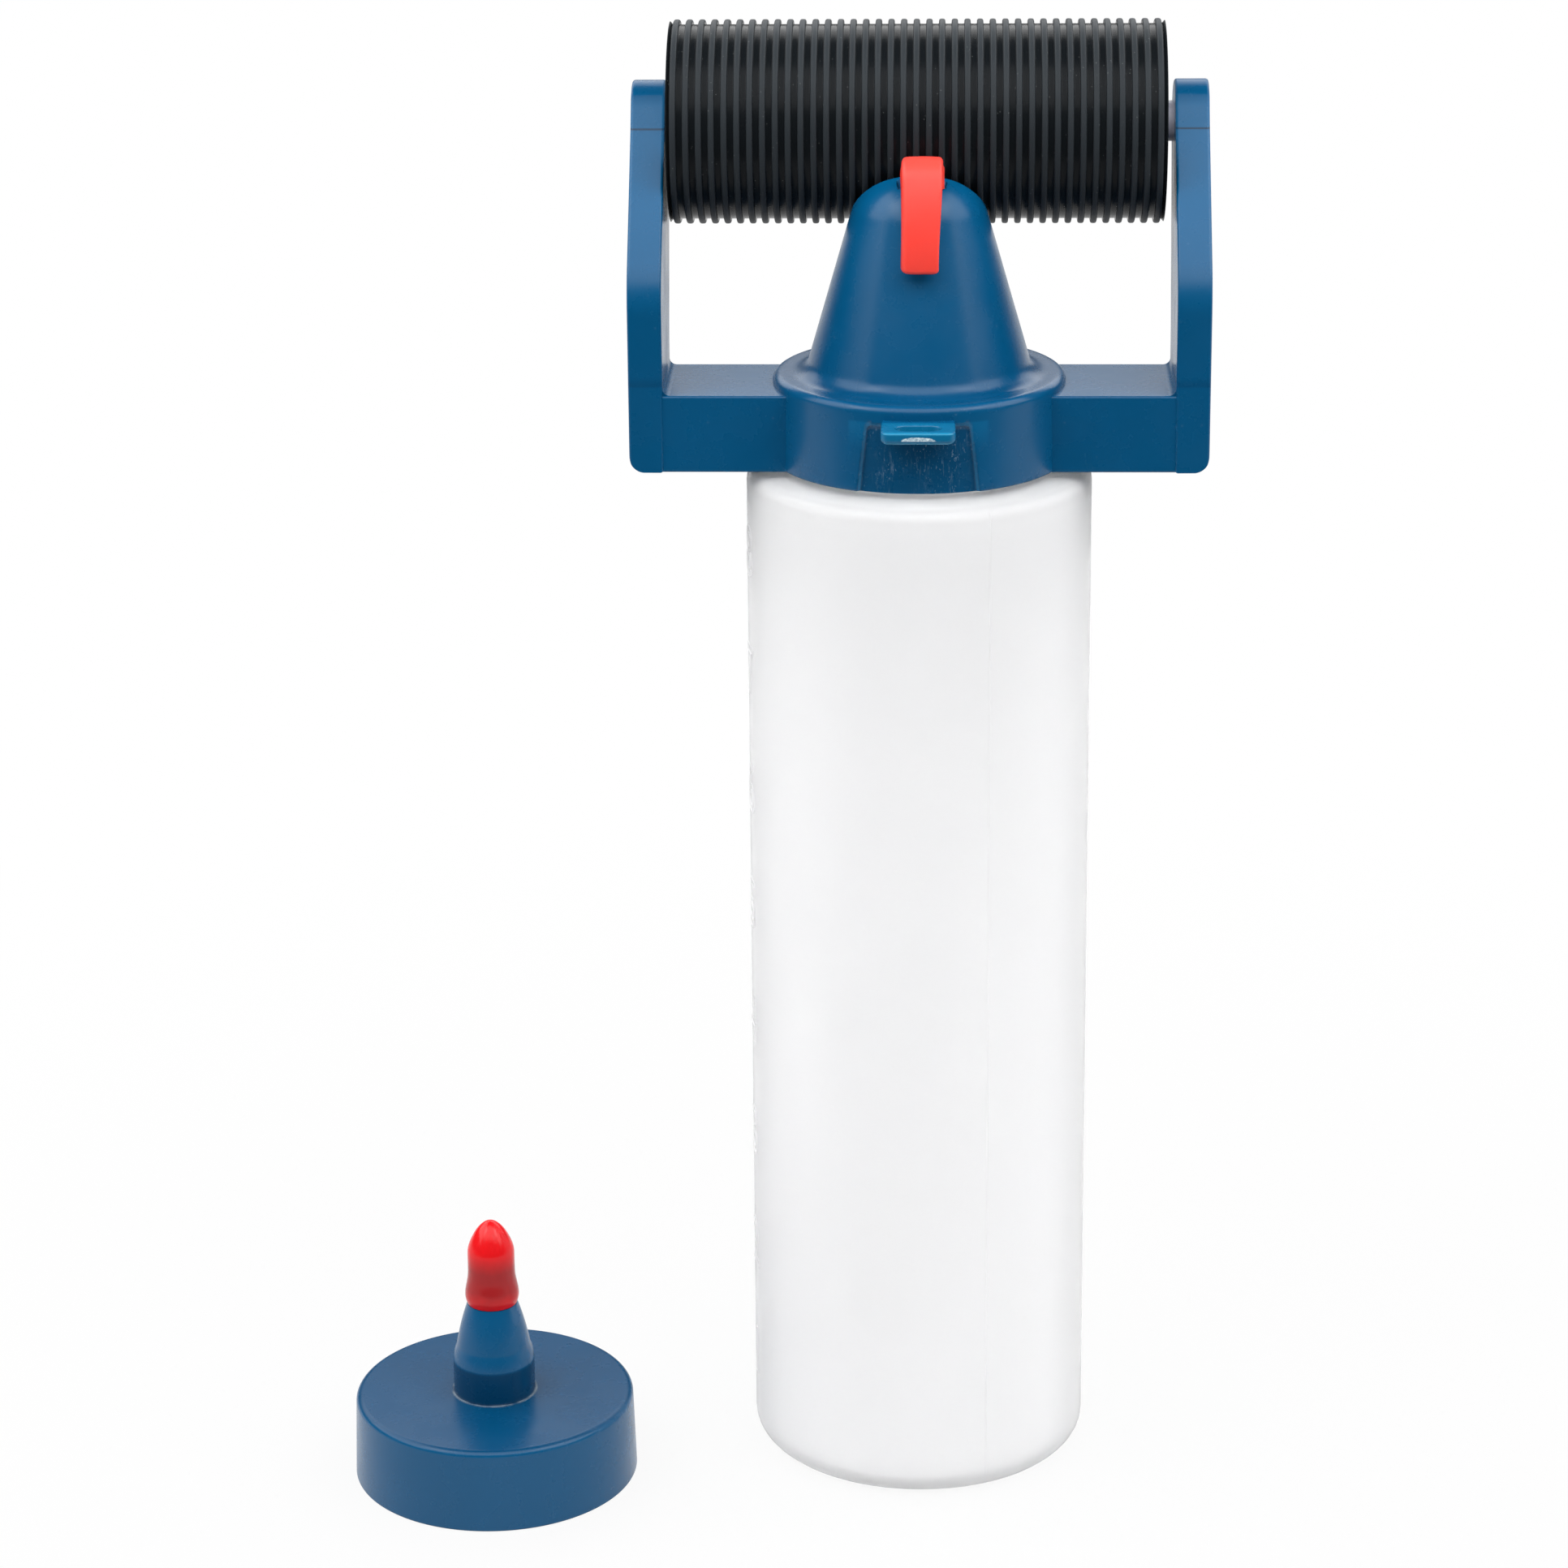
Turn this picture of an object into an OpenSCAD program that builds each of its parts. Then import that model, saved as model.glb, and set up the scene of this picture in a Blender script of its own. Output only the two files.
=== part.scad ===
// Glue roller bottle: a squeeze bottle with a screw-on roller head, and its spare nozzle cap
// Origin: centre of the bottle's base on the table. +Z up, -Y is the front, +X to the right.

/* [Bottle] */
// Outer diameter of the bottle
bottle_d = 48; // [46:0.5:60]
// Height from the table to the top of the shoulder
shoulder_h = 148; // [110:1:200]
// Wall of the bottle
bottle_wall = 0.9; // [0.6:0.1:1.5]
// Rounding of the bottom corner
base_round = 3.4; // [2:0.1:6]
// Rounding of the shoulder's outer edge
shoulder_round = 2; // [1.5:0.1:2.5]
// Height that the shoulder's top falls towards its edge
shoulder_fall = 0.6; // [0.2:0.1:1]
// Depth of the ring groove under the base
base_groove = 0.5; // [0.2:0.1:0.6]
// Height of the parting line's ridge
seam_h = 0.08; // [0.04:0.02:0.1]

/* [Neck and threads] */
// Diameter of the neck between its threads
neck_d = 35.1; // [34:0.1:36]
// Diameter of the neck's bore
neck_bore_d = 32.4; // [28:0.1:33]
// Height of the neck above the shoulder
neck_h = 10.1; // [9:0.1:12]
// Rise of the thread in one turn
thread_pitch = 4.23; // [4:0.01:4.4]
// Number of turns of the thread
thread_turns = 1.25; // [1:0.05:1.3]
// Radial height of a thread ridge
thread_h = 1.1; // [0.8:0.05:1.2]
// Width of a thread ridge at its foot
thread_foot = 2.3; // [2:0.1:2.4]
// Width of a thread ridge at its crest
thread_crest = 0.9; // [0.6:0.1:1]

/* [Roller head] */
// Outer diameter of the collar at its lower edge
collar_d = 40.8; // [40.4:0.1:44]
// Outer diameter of the flange
flange_d = 40.4; // [40:0.1:43]
// Rounding of the flange's edge
flange_round = 1.1; // [0.5:0.1:1.4]
// Thickness of the head's roof under the flange
roof_t = 1.6; // [1.5:0.1:2.5]
// Radius of the spout where it meets the flange
spout_r = 15.75; // [14.5:0.05:16]
// Height of the spout above the flange
spout_h = 28; // [26:0.5:28.5]
// Slope of the spout's side from upright
spout_slope = 16; // [14:0.5:17]
// Radius of the dome on the spout
dome_r = 7.4; // [7:0.1:8]
// Wall of the spout
spout_wall = 1.5; // [1:0.1:2]
// Fillet between the spout and the flange
spout_fillet = 2.5; // [1:0.1:3]
// Diameter of the outlet in the spout
outlet_d = 3; // [2:0.1:3.2]

/* [Bars and arms] */
// Thickness of an arm
arm_t = 4.7; // [4:0.1:6]
// Depth of an arm at its foot
arm_depth = 18.5; // [17:0.1:22]
// Depth of the cross bars
bar_depth = 18; // [15:0.1:18.5]
// Height of the flange above the bars
bar_drop = 1.4; // [1:0.1:3]
// Wall of the hollow bars
bar_wall = 1.8; // [1.5:0.1:3]
// Lean of the arms' front edge from upright
arm_lean = 36.4; // [34:0.1:38]
// Rounding of the bend in the arms' front edge
arm_bend_r = 12; // [6:1:14]
// Radius of the round ends of the arms
boss_r = 5.8; // [5.2:0.1:6.5]
// Rounding of the arms' lower outer corners
arm_corner = 2.2; // [1:0.1:3]
// Fillet between an arm and its bar
bar_fillet = 1; // [0.5:0.1:2]

/* [Collar recess and tab] */
// Width of the recess at its top
recess_top_w = 13.1; // [12:0.1:15]
// Width of the recess at the collar's lower edge
recess_foot_w = 15.2; // [13.5:0.1:17]
// Depth of the recess
recess_depth = 0.75; // [0.4:0.05:0.8]
// Distance from the flange's top to the recess
recess_drop = 2.7; // [2.2:0.1:4]
// Width of the slotted tab
tab_w = 10; // [9:0.1:11]
// Reach of the tab from the collar's axis
tab_reach = 26.5; // [26:0.1:28]
// Thickness of the tab
tab_t = 1.7; // [1.2:0.1:2.2]
// Distance from the flange's top to the tab's top
tab_drop = 1.9; // [1.6:0.1:3]
// Length of the tab's slot
slot_l = 6.1; // [5.8:0.1:7]
// Width of the tab's slot
slot_w = 2.8; // [2.4:0.1:2.9]
// Wall of the tab in front of its slot
slot_lip = 1.45; // [1:0.05:1.6]

/* [Roller] */
// Diameter over the roller's ribs
roller_d = 28.2; // [26:0.1:28.4]
// Length of the roller
roller_l = 68.2; // [60:0.1:90]
// Number of ribs on the roller
rib_count = 39; // [30:1:40]
// Distance from the roller's ends to its outer ribs
rib_end = 0.964; // [0.9:0.002:1.2]
// Width of a rib
rib_w = 0.92; // [0.7:0.01:1.1]
// Height of a rib above the grooves
rib_h = 0.7; // [0.6:0.05:1]
// Thickness of the rubber under the grooves
rubber_t = 2.9; // [2:0.1:4]
// Wall of the core tube
core_wall = 1.8; // [1.2:0.1:2.5]
// Length of the bushes in the core
bush_l = 9; // [5:0.5:15]
// Diameter of the axle
axle_d = 5.6; // [4.5:0.1:6]
// Depth of the axle's seats in the arms
axle_seat = 3.1; // [2.5:0.1:3.3]
// Distance of the axle behind the bottle's axis
axle_y = 11; // [10.5:0.1:12]
// Height of the axle above the flange
axle_up = 32.7; // [32.4:0.1:34]
// Gap at the left end of the roller
left_gap = 0.55; // [0.4:0.05:0.8]
// Gap at the right end of the roller
right_gap = 1.35; // [1.1:0.05:2]

/* [Spout plug and strap] */
// Width of the strap
strap_w = 5.5; // [5:0.1:5.8]
// Thickness of the strap
strap_t = 2; // [1.6:0.1:2.2]
// Width of the strap's foot over the outlet
strap_foot_w = 5.9; // [5.8:0.1:6.4]
// Distance of the strap's middle from the outlet's
strap_shift = 0.15; // [0:0.05:0.3]
// Outer radius of the strap's bend
strap_bend_r = 4; // [3.8:0.1:4.2]
// Length of the strap's front leg below its bend
strap_l = 11.8; // [8:0.1:13]
// Lean of the strap's front leg from upright
strap_lean = 10.4; // [9:0.1:14]
// Distance of the outlet in front of the bottle's axis
outlet_y = 5; // [4.8:0.1:5.6]
// Sideways place of the outlet
outlet_x = 0.4; // [0:0.1:1]
// Height of the strap's bend above the spout's seat
strap_rise = 1; // [0.8:0.1:2]
// Depth of the plug in the outlet
plug_depth = 3.4; // [2:0.1:5]

/* [Nozzle cap] */
// Diameter of the nozzle cap at its lower edge
cap_d = 40.9; // [40.4:0.1:44]
// Diameter of the nozzle cap at its top
cap_top_d = 40.1; // [40:0.1:43]
// Height of the nozzle cap
cap_h = 12.3; // [11.5:0.1:15]
// Rounding of the nozzle cap's top edge
cap_round = 0.8; // [0.4:0.1:1.2]
// Place of the nozzle cap to the left of the bottle
cap_x = 61.4; // [50:0.1:90]
// Place of the nozzle cap in front of the bottle's axis
cap_y = 15; // [-30:0.5:40]
// Diameter of the nozzle's foot
nozzle_d = 11.75; // [10:0.05:14]
// Height of the nozzle's foot
nozzle_foot_h = 5.35; // [3:0.05:8]
// Height of the nozzle's cone
nozzle_cone_h = 8.5; // [6:0.1:12]
// Diameter at the top of the nozzle's cone
nozzle_top_d = 7.25; // [7:0.05:7.6]
// Diameter of the spout inside the tip cover
spigot_d = 5.2; // [4.5:0.1:5.4]
// Height of the spout inside the tip cover
spigot_h = 7; // [5:0.1:8]
// Bore of the nozzle
nozzle_bore_d = 2.2; // [1.5:0.1:3]
// Height of the tip cover
tip_h = 12.65; // [11:0.05:15]
// Largest diameter of the tip cover
tip_d = 7.76; // [7.6:0.02:9]

/* [Clearances] */
// Gap between a thread's crest and the wall across from it
thread_clear = 0.35; // [0.3:0.05:0.5]
// Gap between the shoulder and the collar
shoulder_clear = 0.7; // [0.5:0.1:2]
// Gap on each side of a sealing ring
seal_clear = 0.1; // [0.05:0.05:0.2]
// Radial gap of a pin or an axle in its hole
pin_clear = 0.05; // [0.02:0.01:0.08]
// Gap of parts pressed together
press_clear = 0.03; // [0.01:0.01:0.05]
// Gap between the roller and the spout's saddle
saddle_clear = 0.5; // [0.4:0.05:0.8]
// Gap between parts that come apart
part_clear = 0.3; // [0.2:0.05:0.4]

/* [Hidden] */
$fn = 96;

// Overrun of a cut past the solid it opens
cut = 0.5;
// Depth that joined shapes sink into each other
weld = 0.3;
liner_t = 1;
liner_w = 3.6;

// Heights of the bottle and the head
neck_top = shoulder_h + neck_h;
roof_z = neck_top + seal_clear + liner_t + seal_clear;
flange_z = roof_z + roof_t;
collar_z = shoulder_h + shoulder_clear;
bar_top = flange_z - bar_drop;
neck_r = neck_d / 2;
collar_bore_r = neck_r + thread_h + thread_clear;
liner_r = collar_bore_r - thread_clear;

// Thread ridges: the inner one starts half a turn from the outer one, so their turns lie midway
thread_steps = 60;
thread_fade = 24;
thread_z = shoulder_h + thread_foot;

// Spout and its dome
dome_z = flange_z + spout_h - dome_r;
spout_tan = tan(spout_slope);
spout_r_at_dome = spout_r - spout_tan * (spout_h - dome_r);
dome_x = spout_r_at_dome - dome_r / cos(spout_slope);
cavity_r = spout_r - spout_wall / cos(spout_slope);
dome_in_r = dome_r - spout_wall;

// Axle and roller
axle_z = flange_z + axle_up;
axle_r = axle_d / 2;
roller_r = roller_d / 2;
saddle_r = roller_r + saddle_clear;
rib_r = rib_w / 2;
groove_r = roller_r - rib_h;
sleeve_bore_r = groove_r - rubber_t;
core_r = sleeve_bore_r - press_clear;
core_bore_r = core_r - core_wall;
bush_r = core_bore_r - press_clear;
bush_bore_r = axle_r + pin_clear;
bush_lip_r = core_bore_r + core_wall / 2;
bush_lip_t = 0.8;
arm_gap = left_gap + roller_l + right_gap;
arm_x = arm_gap / 2;
roller_x = left_gap - arm_x;
rib_pitch = (roller_l - 2 * rib_end) / (rib_count - 1);
axle_l = arm_gap + 2 * axle_seat - 2 * pin_clear;

// Side outline of an arm: a foot as deep as the bars, a leaning front edge and a round end
crease_y = axle_y - boss_r - 0.05 * boss_r;
crease_z = axle_z + 0.03 * boss_r;
bend_z = crease_z - (crease_y + arm_depth / 2) / tan(arm_lean);
bend_reach = arm_bend_r * tan(arm_lean / 2);
back_bend_z = collar_z + 0.34 * (axle_z - collar_z);
back_lean = atan2(axle_y + boss_r - arm_depth / 2, axle_z - back_bend_z);

// Spout plug and strap: the plug stands in the outlet and the strap bends over to the front
plug_r = outlet_d / 2 - pin_clear;
notch_z = dome_z + sqrt(pow(dome_r, 2) - pow(outlet_y + slot_w / 2 - dome_x, 2));
strap_z = notch_z + strap_rise;
strap_y = -outlet_y - strap_bend_r + strap_t / 2;
notch_w = strap_foot_w + 2 * part_clear;
notch_l = strap_t + 2 * part_clear;

// Nozzle cap
cap_roof_z = cap_h - roof_t;
nozzle_r = nozzle_d / 2;
cone_z = cap_h + nozzle_foot_h;
cone_top_z = cone_z + nozzle_cone_h;
cone_foot_r = nozzle_r - 0.05 * nozzle_r;
spigot_r = spigot_d / 2;
tip_z = cone_top_z + seal_clear;
tip_bore_r = spigot_r + pin_clear;
tip_bore_h = spigot_h + part_clear;
cap_thread_z = thread_foot;

// Outline of the nozzle's cone as shares of its height and of its fall in radius
cone_shares = [[0, 0], [0.2, 0.11], [0.4, 0.28], [0.6, 0.48], [0.8, 0.72], [1, 1]];
// Outline of the tip cover as shares of its height and its largest radius
tip_shares = [
  [0, 0.93], [0.03, 0.965], [0.09, 1], [0.16, 0.985], [0.225, 0.945], [0.3, 0.9],
  [0.375, 0.878], [0.5, 0.872], [0.628, 0.868], [0.69, 0.83], [0.751, 0.76], [0.815, 0.66],
  [0.877, 0.54], [0.93, 0.4], [0.97, 0.25], [0.99, 0.13], [1, 0]
];

// Points of an arc about a centre, counted from angle a to angle b
function arc(centre, r, a, b, steps = 16) = [
  for (i = [0:steps])
    let (t = a + (b - a) * i / steps)
      [centre[0] + r * cos(t), centre[1] + r * sin(t)]
];

// Radial height of a thread ridge along its length, running out at both ends
function ridge_share(t, sweep) = min(1, min(t, sweep - t) / thread_fade + 0.02);

// A helical ridge that starts at an angle and a height. Its foot lies inside the wall at radius r.
// grow is 1 for a ridge that points outwards and -1 for one that points to the axis.
module thread_ridge(r, z, start, turns, grow) {
  sweep = 360 * turns;
  count = ceil(thread_steps * turns);
  sunk_r = r - grow * weld;
  rings = [
    for (i = [0:count])
      let (
        t = sweep * i / count,
        share = ridge_share(t, sweep),
        crest_r = r + grow * thread_h * share,
        crest = thread_foot + (thread_crest - thread_foot) * share,
        lift = z + thread_pitch * t / 360,
        u = [cos(start + t), sin(start + t)]
      )
        [
          [sunk_r * u[0], sunk_r * u[1], lift - thread_foot / 2],
          [crest_r * u[0], crest_r * u[1], lift - crest / 2],
          [crest_r * u[0], crest_r * u[1], lift + crest / 2],
          [sunk_r * u[0], sunk_r * u[1], lift + thread_foot / 2]
        ]
  ];
  points = [for (ring = rings) for (p = ring) p];
  side_faces = [
    for (i = [0:count - 1])
      for (k = [0:3])
        let (a = 4 * i + k, b = 4 * i + (k + 1) % 4)
          each grow > 0
            ? [[a, b, b + 4], [a, b + 4, a + 4]]
            : [[a, b + 4, b], [a, a + 4, b + 4]]
  ];
  last = 4 * count;
  end_faces = grow > 0
    ? [[3, 2, 1], [3, 1, 0], [last, last + 1, last + 2], [last, last + 2, last + 3]]
    : [[1, 2, 3], [0, 1, 3], [last + 2, last + 1, last], [last + 3, last + 2, last]];
  polyhedron(points = points, faces = concat(side_faces, end_faces), convexity = 6);
}

// Half section of the bottle's body, filled
module body_section(r, z0, z1, foot_round, top_round, fall) {
  translate([0, z0]) square([r - foot_round, foot_round]);
  translate([0, z0 + foot_round]) square([r, z1 - fall - top_round - z0 - foot_round]);
  translate([r - foot_round, z0 + foot_round]) circle(r = foot_round);
  translate([r - top_round, z1 - fall - top_round]) circle(r = top_round);
  polygon([
    [0, z0 + foot_round], [r - top_round, z0 + foot_round], [r - top_round, z1 - fall],
    [neck_r, z1], [0, z1]
  ]);
}

module bottle() {
  body_r = bottle_d / 2;
  bore_r = neck_bore_d / 2;
  groove_w = body_r / 4;
  color([0.93, 0.94, 0.95]) union() {
    difference() {
      rotate_extrude() {
        intersection() {
          body_section(body_r, 0, shoulder_h, base_round, shoulder_round, shoulder_fall);
          square([body_r, shoulder_h]);
        }
        translate([0, shoulder_h - weld]) square([neck_r, neck_h + weld]);
      }
      rotate_extrude() intersection() {
        body_section(
          body_r - bottle_wall, bottle_wall + base_groove, shoulder_h - bottle_wall,
          base_round - bottle_wall, shoulder_round - bottle_wall, shoulder_fall
        );
        square([body_r, shoulder_h]);
      }
      translate([0, 0, shoulder_h / 2]) cylinder(r = bore_r, h = shoulder_h);
      rotate_extrude() translate([body_r / 2, -cut]) square([groove_w, cut + base_groove]);
    }
    thread_ridge(neck_r, thread_z, 0, thread_turns, 1);
    for (side = [0, 180])
      rotate([0, 0, side - 66])
        translate([body_r - bottle_wall / 2, -seam_h, base_round])
          cube([bottle_wall / 2 + seam_h, 2 * seam_h, shoulder_h - shoulder_fall - shoulder_round - base_round]);
  }
}

// Half section of the spout's outside: a fillet at its foot, a cone and a dome
module spout_section() {
  fillet_x = spout_r + spout_fillet * tan(45 - spout_slope / 2);
  polygon(concat(
    [[0, flange_z - weld], [fillet_x, flange_z - weld]],
    arc([fillet_x, flange_z + spout_fillet], spout_fillet, 270, 180 + spout_slope, 8),
    arc([dome_x, dome_z], dome_r, spout_slope, 90),
    [[0, dome_z + dome_r]]
  ));
}

// Half section of the space inside the spout
module cavity_section() {
  polygon(concat(
    [[0, roof_z - cut], [cavity_r, roof_z - cut], [cavity_r, flange_z]],
    arc([dome_x, dome_z], dome_in_r, spout_slope, 90, 12),
    [[0, dome_z + dome_in_r]]
  ));
}

// Outside of the collar and the flange, with a slight draft and a rounded edge
module collar_section() {
  top_r = flange_d / 2;
  polygon([
    [0, collar_z], [collar_d / 2, collar_z], [top_r, flange_z - flange_round],
    [0, flange_z - flange_round]
  ]);
  translate([0, flange_z - 2 * flange_round]) square([top_r - flange_round, 2 * flange_round]);
  translate([top_r - flange_round, flange_z - flange_round]) circle(r = flange_round);
}

// Side outline of an arm, drawn in the plane of Y and Z
module arm_outline() {
  front = -arm_depth / 2;
  bend = arc([front + arm_bend_r, bend_z - bend_reach], arm_bend_r, 180, 180 - arm_lean);
  polygon(concat(
    [[front, collar_z]], bend,
    [[crease_y, crease_z], [axle_y, axle_z + boss_r / 2]],
    [
      [axle_y + boss_r * cos(back_lean), axle_z + boss_r * sin(-back_lean)],
      [-front, back_bend_z], [-front, collar_z]
    ]
  ));
  translate([axle_y, axle_z]) circle(r = boss_r);
}

// One arm, on the right, with its lower outer corner rounded
module arm() {
  top_z = axle_z + boss_r;
  intersection() {
    translate([arm_x, 0, 0]) rotate([90, 0, 90]) linear_extrude(height = arm_t) arm_outline();
    translate([arm_x, arm_depth / 2, 0]) rotate([90, 0, 0]) translate([0, 0, -arm_depth])
      linear_extrude(height = 3 * arm_depth) {
        translate([0, collar_z]) square([arm_t - arm_corner, arm_corner]);
        translate([0, collar_z + arm_corner]) square([arm_t, top_z - collar_z]);
        translate([arm_t - arm_corner, collar_z + arm_corner]) circle(r = arm_corner);
      }
  }
}

// One cross bar, on the right, hollow from below with a rib, and its fillet to the arm
module bar() {
  inner = collar_d / 2;
  pocket_l = arm_x - inner - bar_wall;
  pocket_h = bar_top - bar_wall - collar_z;
  difference() {
    translate([inner - 2 * bar_wall, -bar_depth / 2, collar_z])
      cube([arm_x - inner + 2 * bar_wall + weld, bar_depth, bar_top - collar_z]);
    for (i = [0, 1])
      translate([inner + bar_wall + i * pocket_l / 2, bar_wall - bar_depth / 2, collar_z - cut])
        cube([pocket_l / 2 - bar_wall, bar_depth - 2 * bar_wall, pocket_h + cut]);
  }
  difference() {
    translate([arm_x - bar_fillet, -bar_depth / 2, bar_top - weld])
      cube([bar_fillet + weld, bar_depth, bar_fillet + weld]);
    translate([arm_x - bar_fillet, bar_depth, bar_top + bar_fillet]) rotate([90, 0, 0])
      cylinder(r = bar_fillet, h = 2 * bar_depth);
  }
}

// Seat for the axle's end in the right arm
module axle_hole() {
  translate([arm_x - cut, axle_y, axle_z]) rotate([0, 90, 0])
    cylinder(r = axle_r + pin_clear, h = axle_seat + cut);
}

// The slotted tab on the collar's front
module tab() {
  corner = tab_t / 3;
  tab_top = flange_z - tab_drop;
  root = collar_bore_r + recess_depth / 2;
  translate([0, 0, tab_top - tab_t]) linear_extrude(height = tab_t) difference() {
    union() {
      translate([-tab_w / 2, -tab_reach + corner]) square([tab_w, tab_reach - corner - root]);
      translate([corner - tab_w / 2, -tab_reach]) square([tab_w - 2 * corner, tab_reach - root]);
      for (side = [-1, 1]) translate([side * (tab_w / 2 - corner), corner - tab_reach]) circle(r = corner);
    }
    translate([0, slot_lip + slot_w / 2 - tab_reach]) {
      square([slot_l - slot_w, slot_w], center = true);
      for (side = [-1, 1]) translate([side * (slot_l - slot_w) / 2, 0]) circle(r = slot_w / 2);
    }
  }
}

// The shallow recess on the collar's front: what is cut away
module recess_cut() {
  recess_top = flange_z - recess_drop;
  floor_r = collar_d / 2 - recess_depth;
  difference() {
    translate([0, -floor_r / 2, 0]) rotate([90, 0, 0]) linear_extrude(height = floor_r)
      polygon([
        [-recess_foot_w / 2, collar_z - cut], [recess_foot_w / 2, collar_z - cut],
        [recess_top_w / 2, recess_top], [-recess_top_w / 2, recess_top]
      ]);
    cylinder(r = floor_r, h = flange_z);
  }
}

module roller_head() {
  color([0.06, 0.27, 0.45]) {
    difference() {
      union() {
        rotate_extrude() {
          collar_section();
          spout_section();
        }
        for (side = [0, 1]) mirror([side, 0, 0]) {
          arm();
          bar();
        }
      }
      translate([0, 0, collar_z - cut]) cylinder(r = collar_bore_r, h = roof_z - collar_z + cut);
      difference() {
        rotate_extrude() cavity_section();
        translate([-spout_r, axle_y, axle_z]) rotate([0, 90, 0])
          cylinder(r = saddle_r + spout_wall, h = 2 * spout_r);
      }
      translate([-spout_r, axle_y, axle_z]) rotate([0, 90, 0]) cylinder(r = saddle_r, h = 2 * spout_r);
      translate([outlet_x, -outlet_y, dome_z]) cylinder(r = outlet_d / 2, h = 2 * dome_r);
      translate([outlet_x - notch_w / 2, -outlet_y - notch_l / 2, notch_z])
        cube([notch_w, notch_l, dome_r]);
      recess_cut();
      for (side = [0, 1]) mirror([side, 0, 0]) axle_hole();
    }
    tab();
    thread_ridge(collar_bore_r, thread_z, 180, thread_turns, -1);
  }
}

module head_liner() {
  color([0.92, 0.92, 0.9]) translate([0, 0, neck_top + seal_clear]) difference() {
    cylinder(r = liner_r, h = liner_t);
    translate([0, 0, -cut]) cylinder(r = liner_r - liner_w, h = liner_t + 2 * cut);
  }
}

module axle() {
  bevel = axle_r / 8;
  color([0.8, 0.79, 0.84]) translate([-axle_l / 2, axle_y, axle_z]) rotate([0, 90, 0]) rotate_extrude()
    polygon([
      [0, 0], [axle_r - bevel, 0], [axle_r, bevel], [axle_r, axle_l - bevel],
      [axle_r - bevel, axle_l], [0, axle_l]
    ]);
}

// A bush whose lip lies in the end of the core tube. Its outer face is at the origin of its axis.
module bush() {
  rotate([0, 90, 0]) difference() {
    union() {
      cylinder(r = bush_r, h = bush_l);
      cylinder(r = bush_lip_r, h = bush_lip_t);
    }
    translate([0, 0, -cut]) cylinder(r = bush_bore_r, h = bush_l + 2 * cut);
  }
}

module core_bush_left() {
  color([0.85, 0.85, 0.83]) translate([roller_x, axle_y, axle_z]) bush();
}

module core_bush_right() {
  color([0.85, 0.85, 0.83]) translate([roller_x + roller_l, axle_y, axle_z]) mirror([1, 0, 0]) bush();
}

module roller_core() {
  lip_bore_r = bush_lip_r + press_clear;
  lip_depth = bush_lip_t + press_clear;
  color([0.2, 0.2, 0.21]) translate([roller_x, axle_y, axle_z]) rotate([0, 90, 0]) difference() {
    cylinder(r = core_r, h = roller_l);
    translate([0, 0, -cut]) cylinder(r = core_bore_r, h = roller_l + 2 * cut);
    translate([0, 0, -cut]) cylinder(r = lip_bore_r, h = lip_depth + cut);
    translate([0, 0, roller_l - lip_depth]) cylinder(r = lip_bore_r, h = lip_depth + cut);
  }
}

module roller_sleeve() {
  color([0.13, 0.14, 0.15]) translate([roller_x, axle_y, axle_z]) rotate([0, 90, 0]) rotate_extrude() {
    translate([sleeve_bore_r, 0]) square([rubber_t, roller_l]);
    for (i = [0:rib_count - 1]) {
      translate([groove_r - weld, rib_end + i * rib_pitch - rib_r]) square([rib_h + weld - rib_r, rib_w]);
      translate([roller_r - rib_r, rib_end + i * rib_pitch]) circle(r = rib_r, $fn = 32);
    }
  }
}

// Side outline of the strap, drawn in the plane of Y and Z
module strap_outline() {
  centre = [strap_y, strap_z];
  out_end = [strap_y - strap_bend_r * cos(strap_lean), strap_z + strap_bend_r * sin(strap_lean)];
  drop = [-strap_l * sin(strap_lean), -strap_l * cos(strap_lean)];
  in_r = strap_bend_r - strap_t;
  in_end = [strap_y - in_r * cos(strap_lean), strap_z + in_r * sin(strap_lean)];
  polygon(concat(
    [[strap_y + strap_bend_r, notch_z + seal_clear]],
    arc(centre, strap_bend_r, 0, 180 - strap_lean, 28),
    [out_end + drop, in_end + drop],
    arc(centre, in_r, 180 - strap_lean, 0, 28),
    [[strap_y + in_r, notch_z + seal_clear]]
  ));
}

module spout_plug() {
  leg_h = strap_rise + strap_bend_r / 2;
  color([0.9, 0.16, 0.13]) union() {
    translate([outlet_x + strap_shift - strap_w / 2, 0, 0]) rotate([90, 0, 90])
      linear_extrude(height = strap_w) strap_outline();
    translate([outlet_x - strap_foot_w / 2, -outlet_y - strap_t / 2, notch_z + seal_clear])
      cube([strap_foot_w, strap_t, leg_h]);
    translate([outlet_x, -outlet_y, notch_z - plug_depth]) cylinder(r = plug_r, h = plug_depth + strap_t);
  }
}

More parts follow.
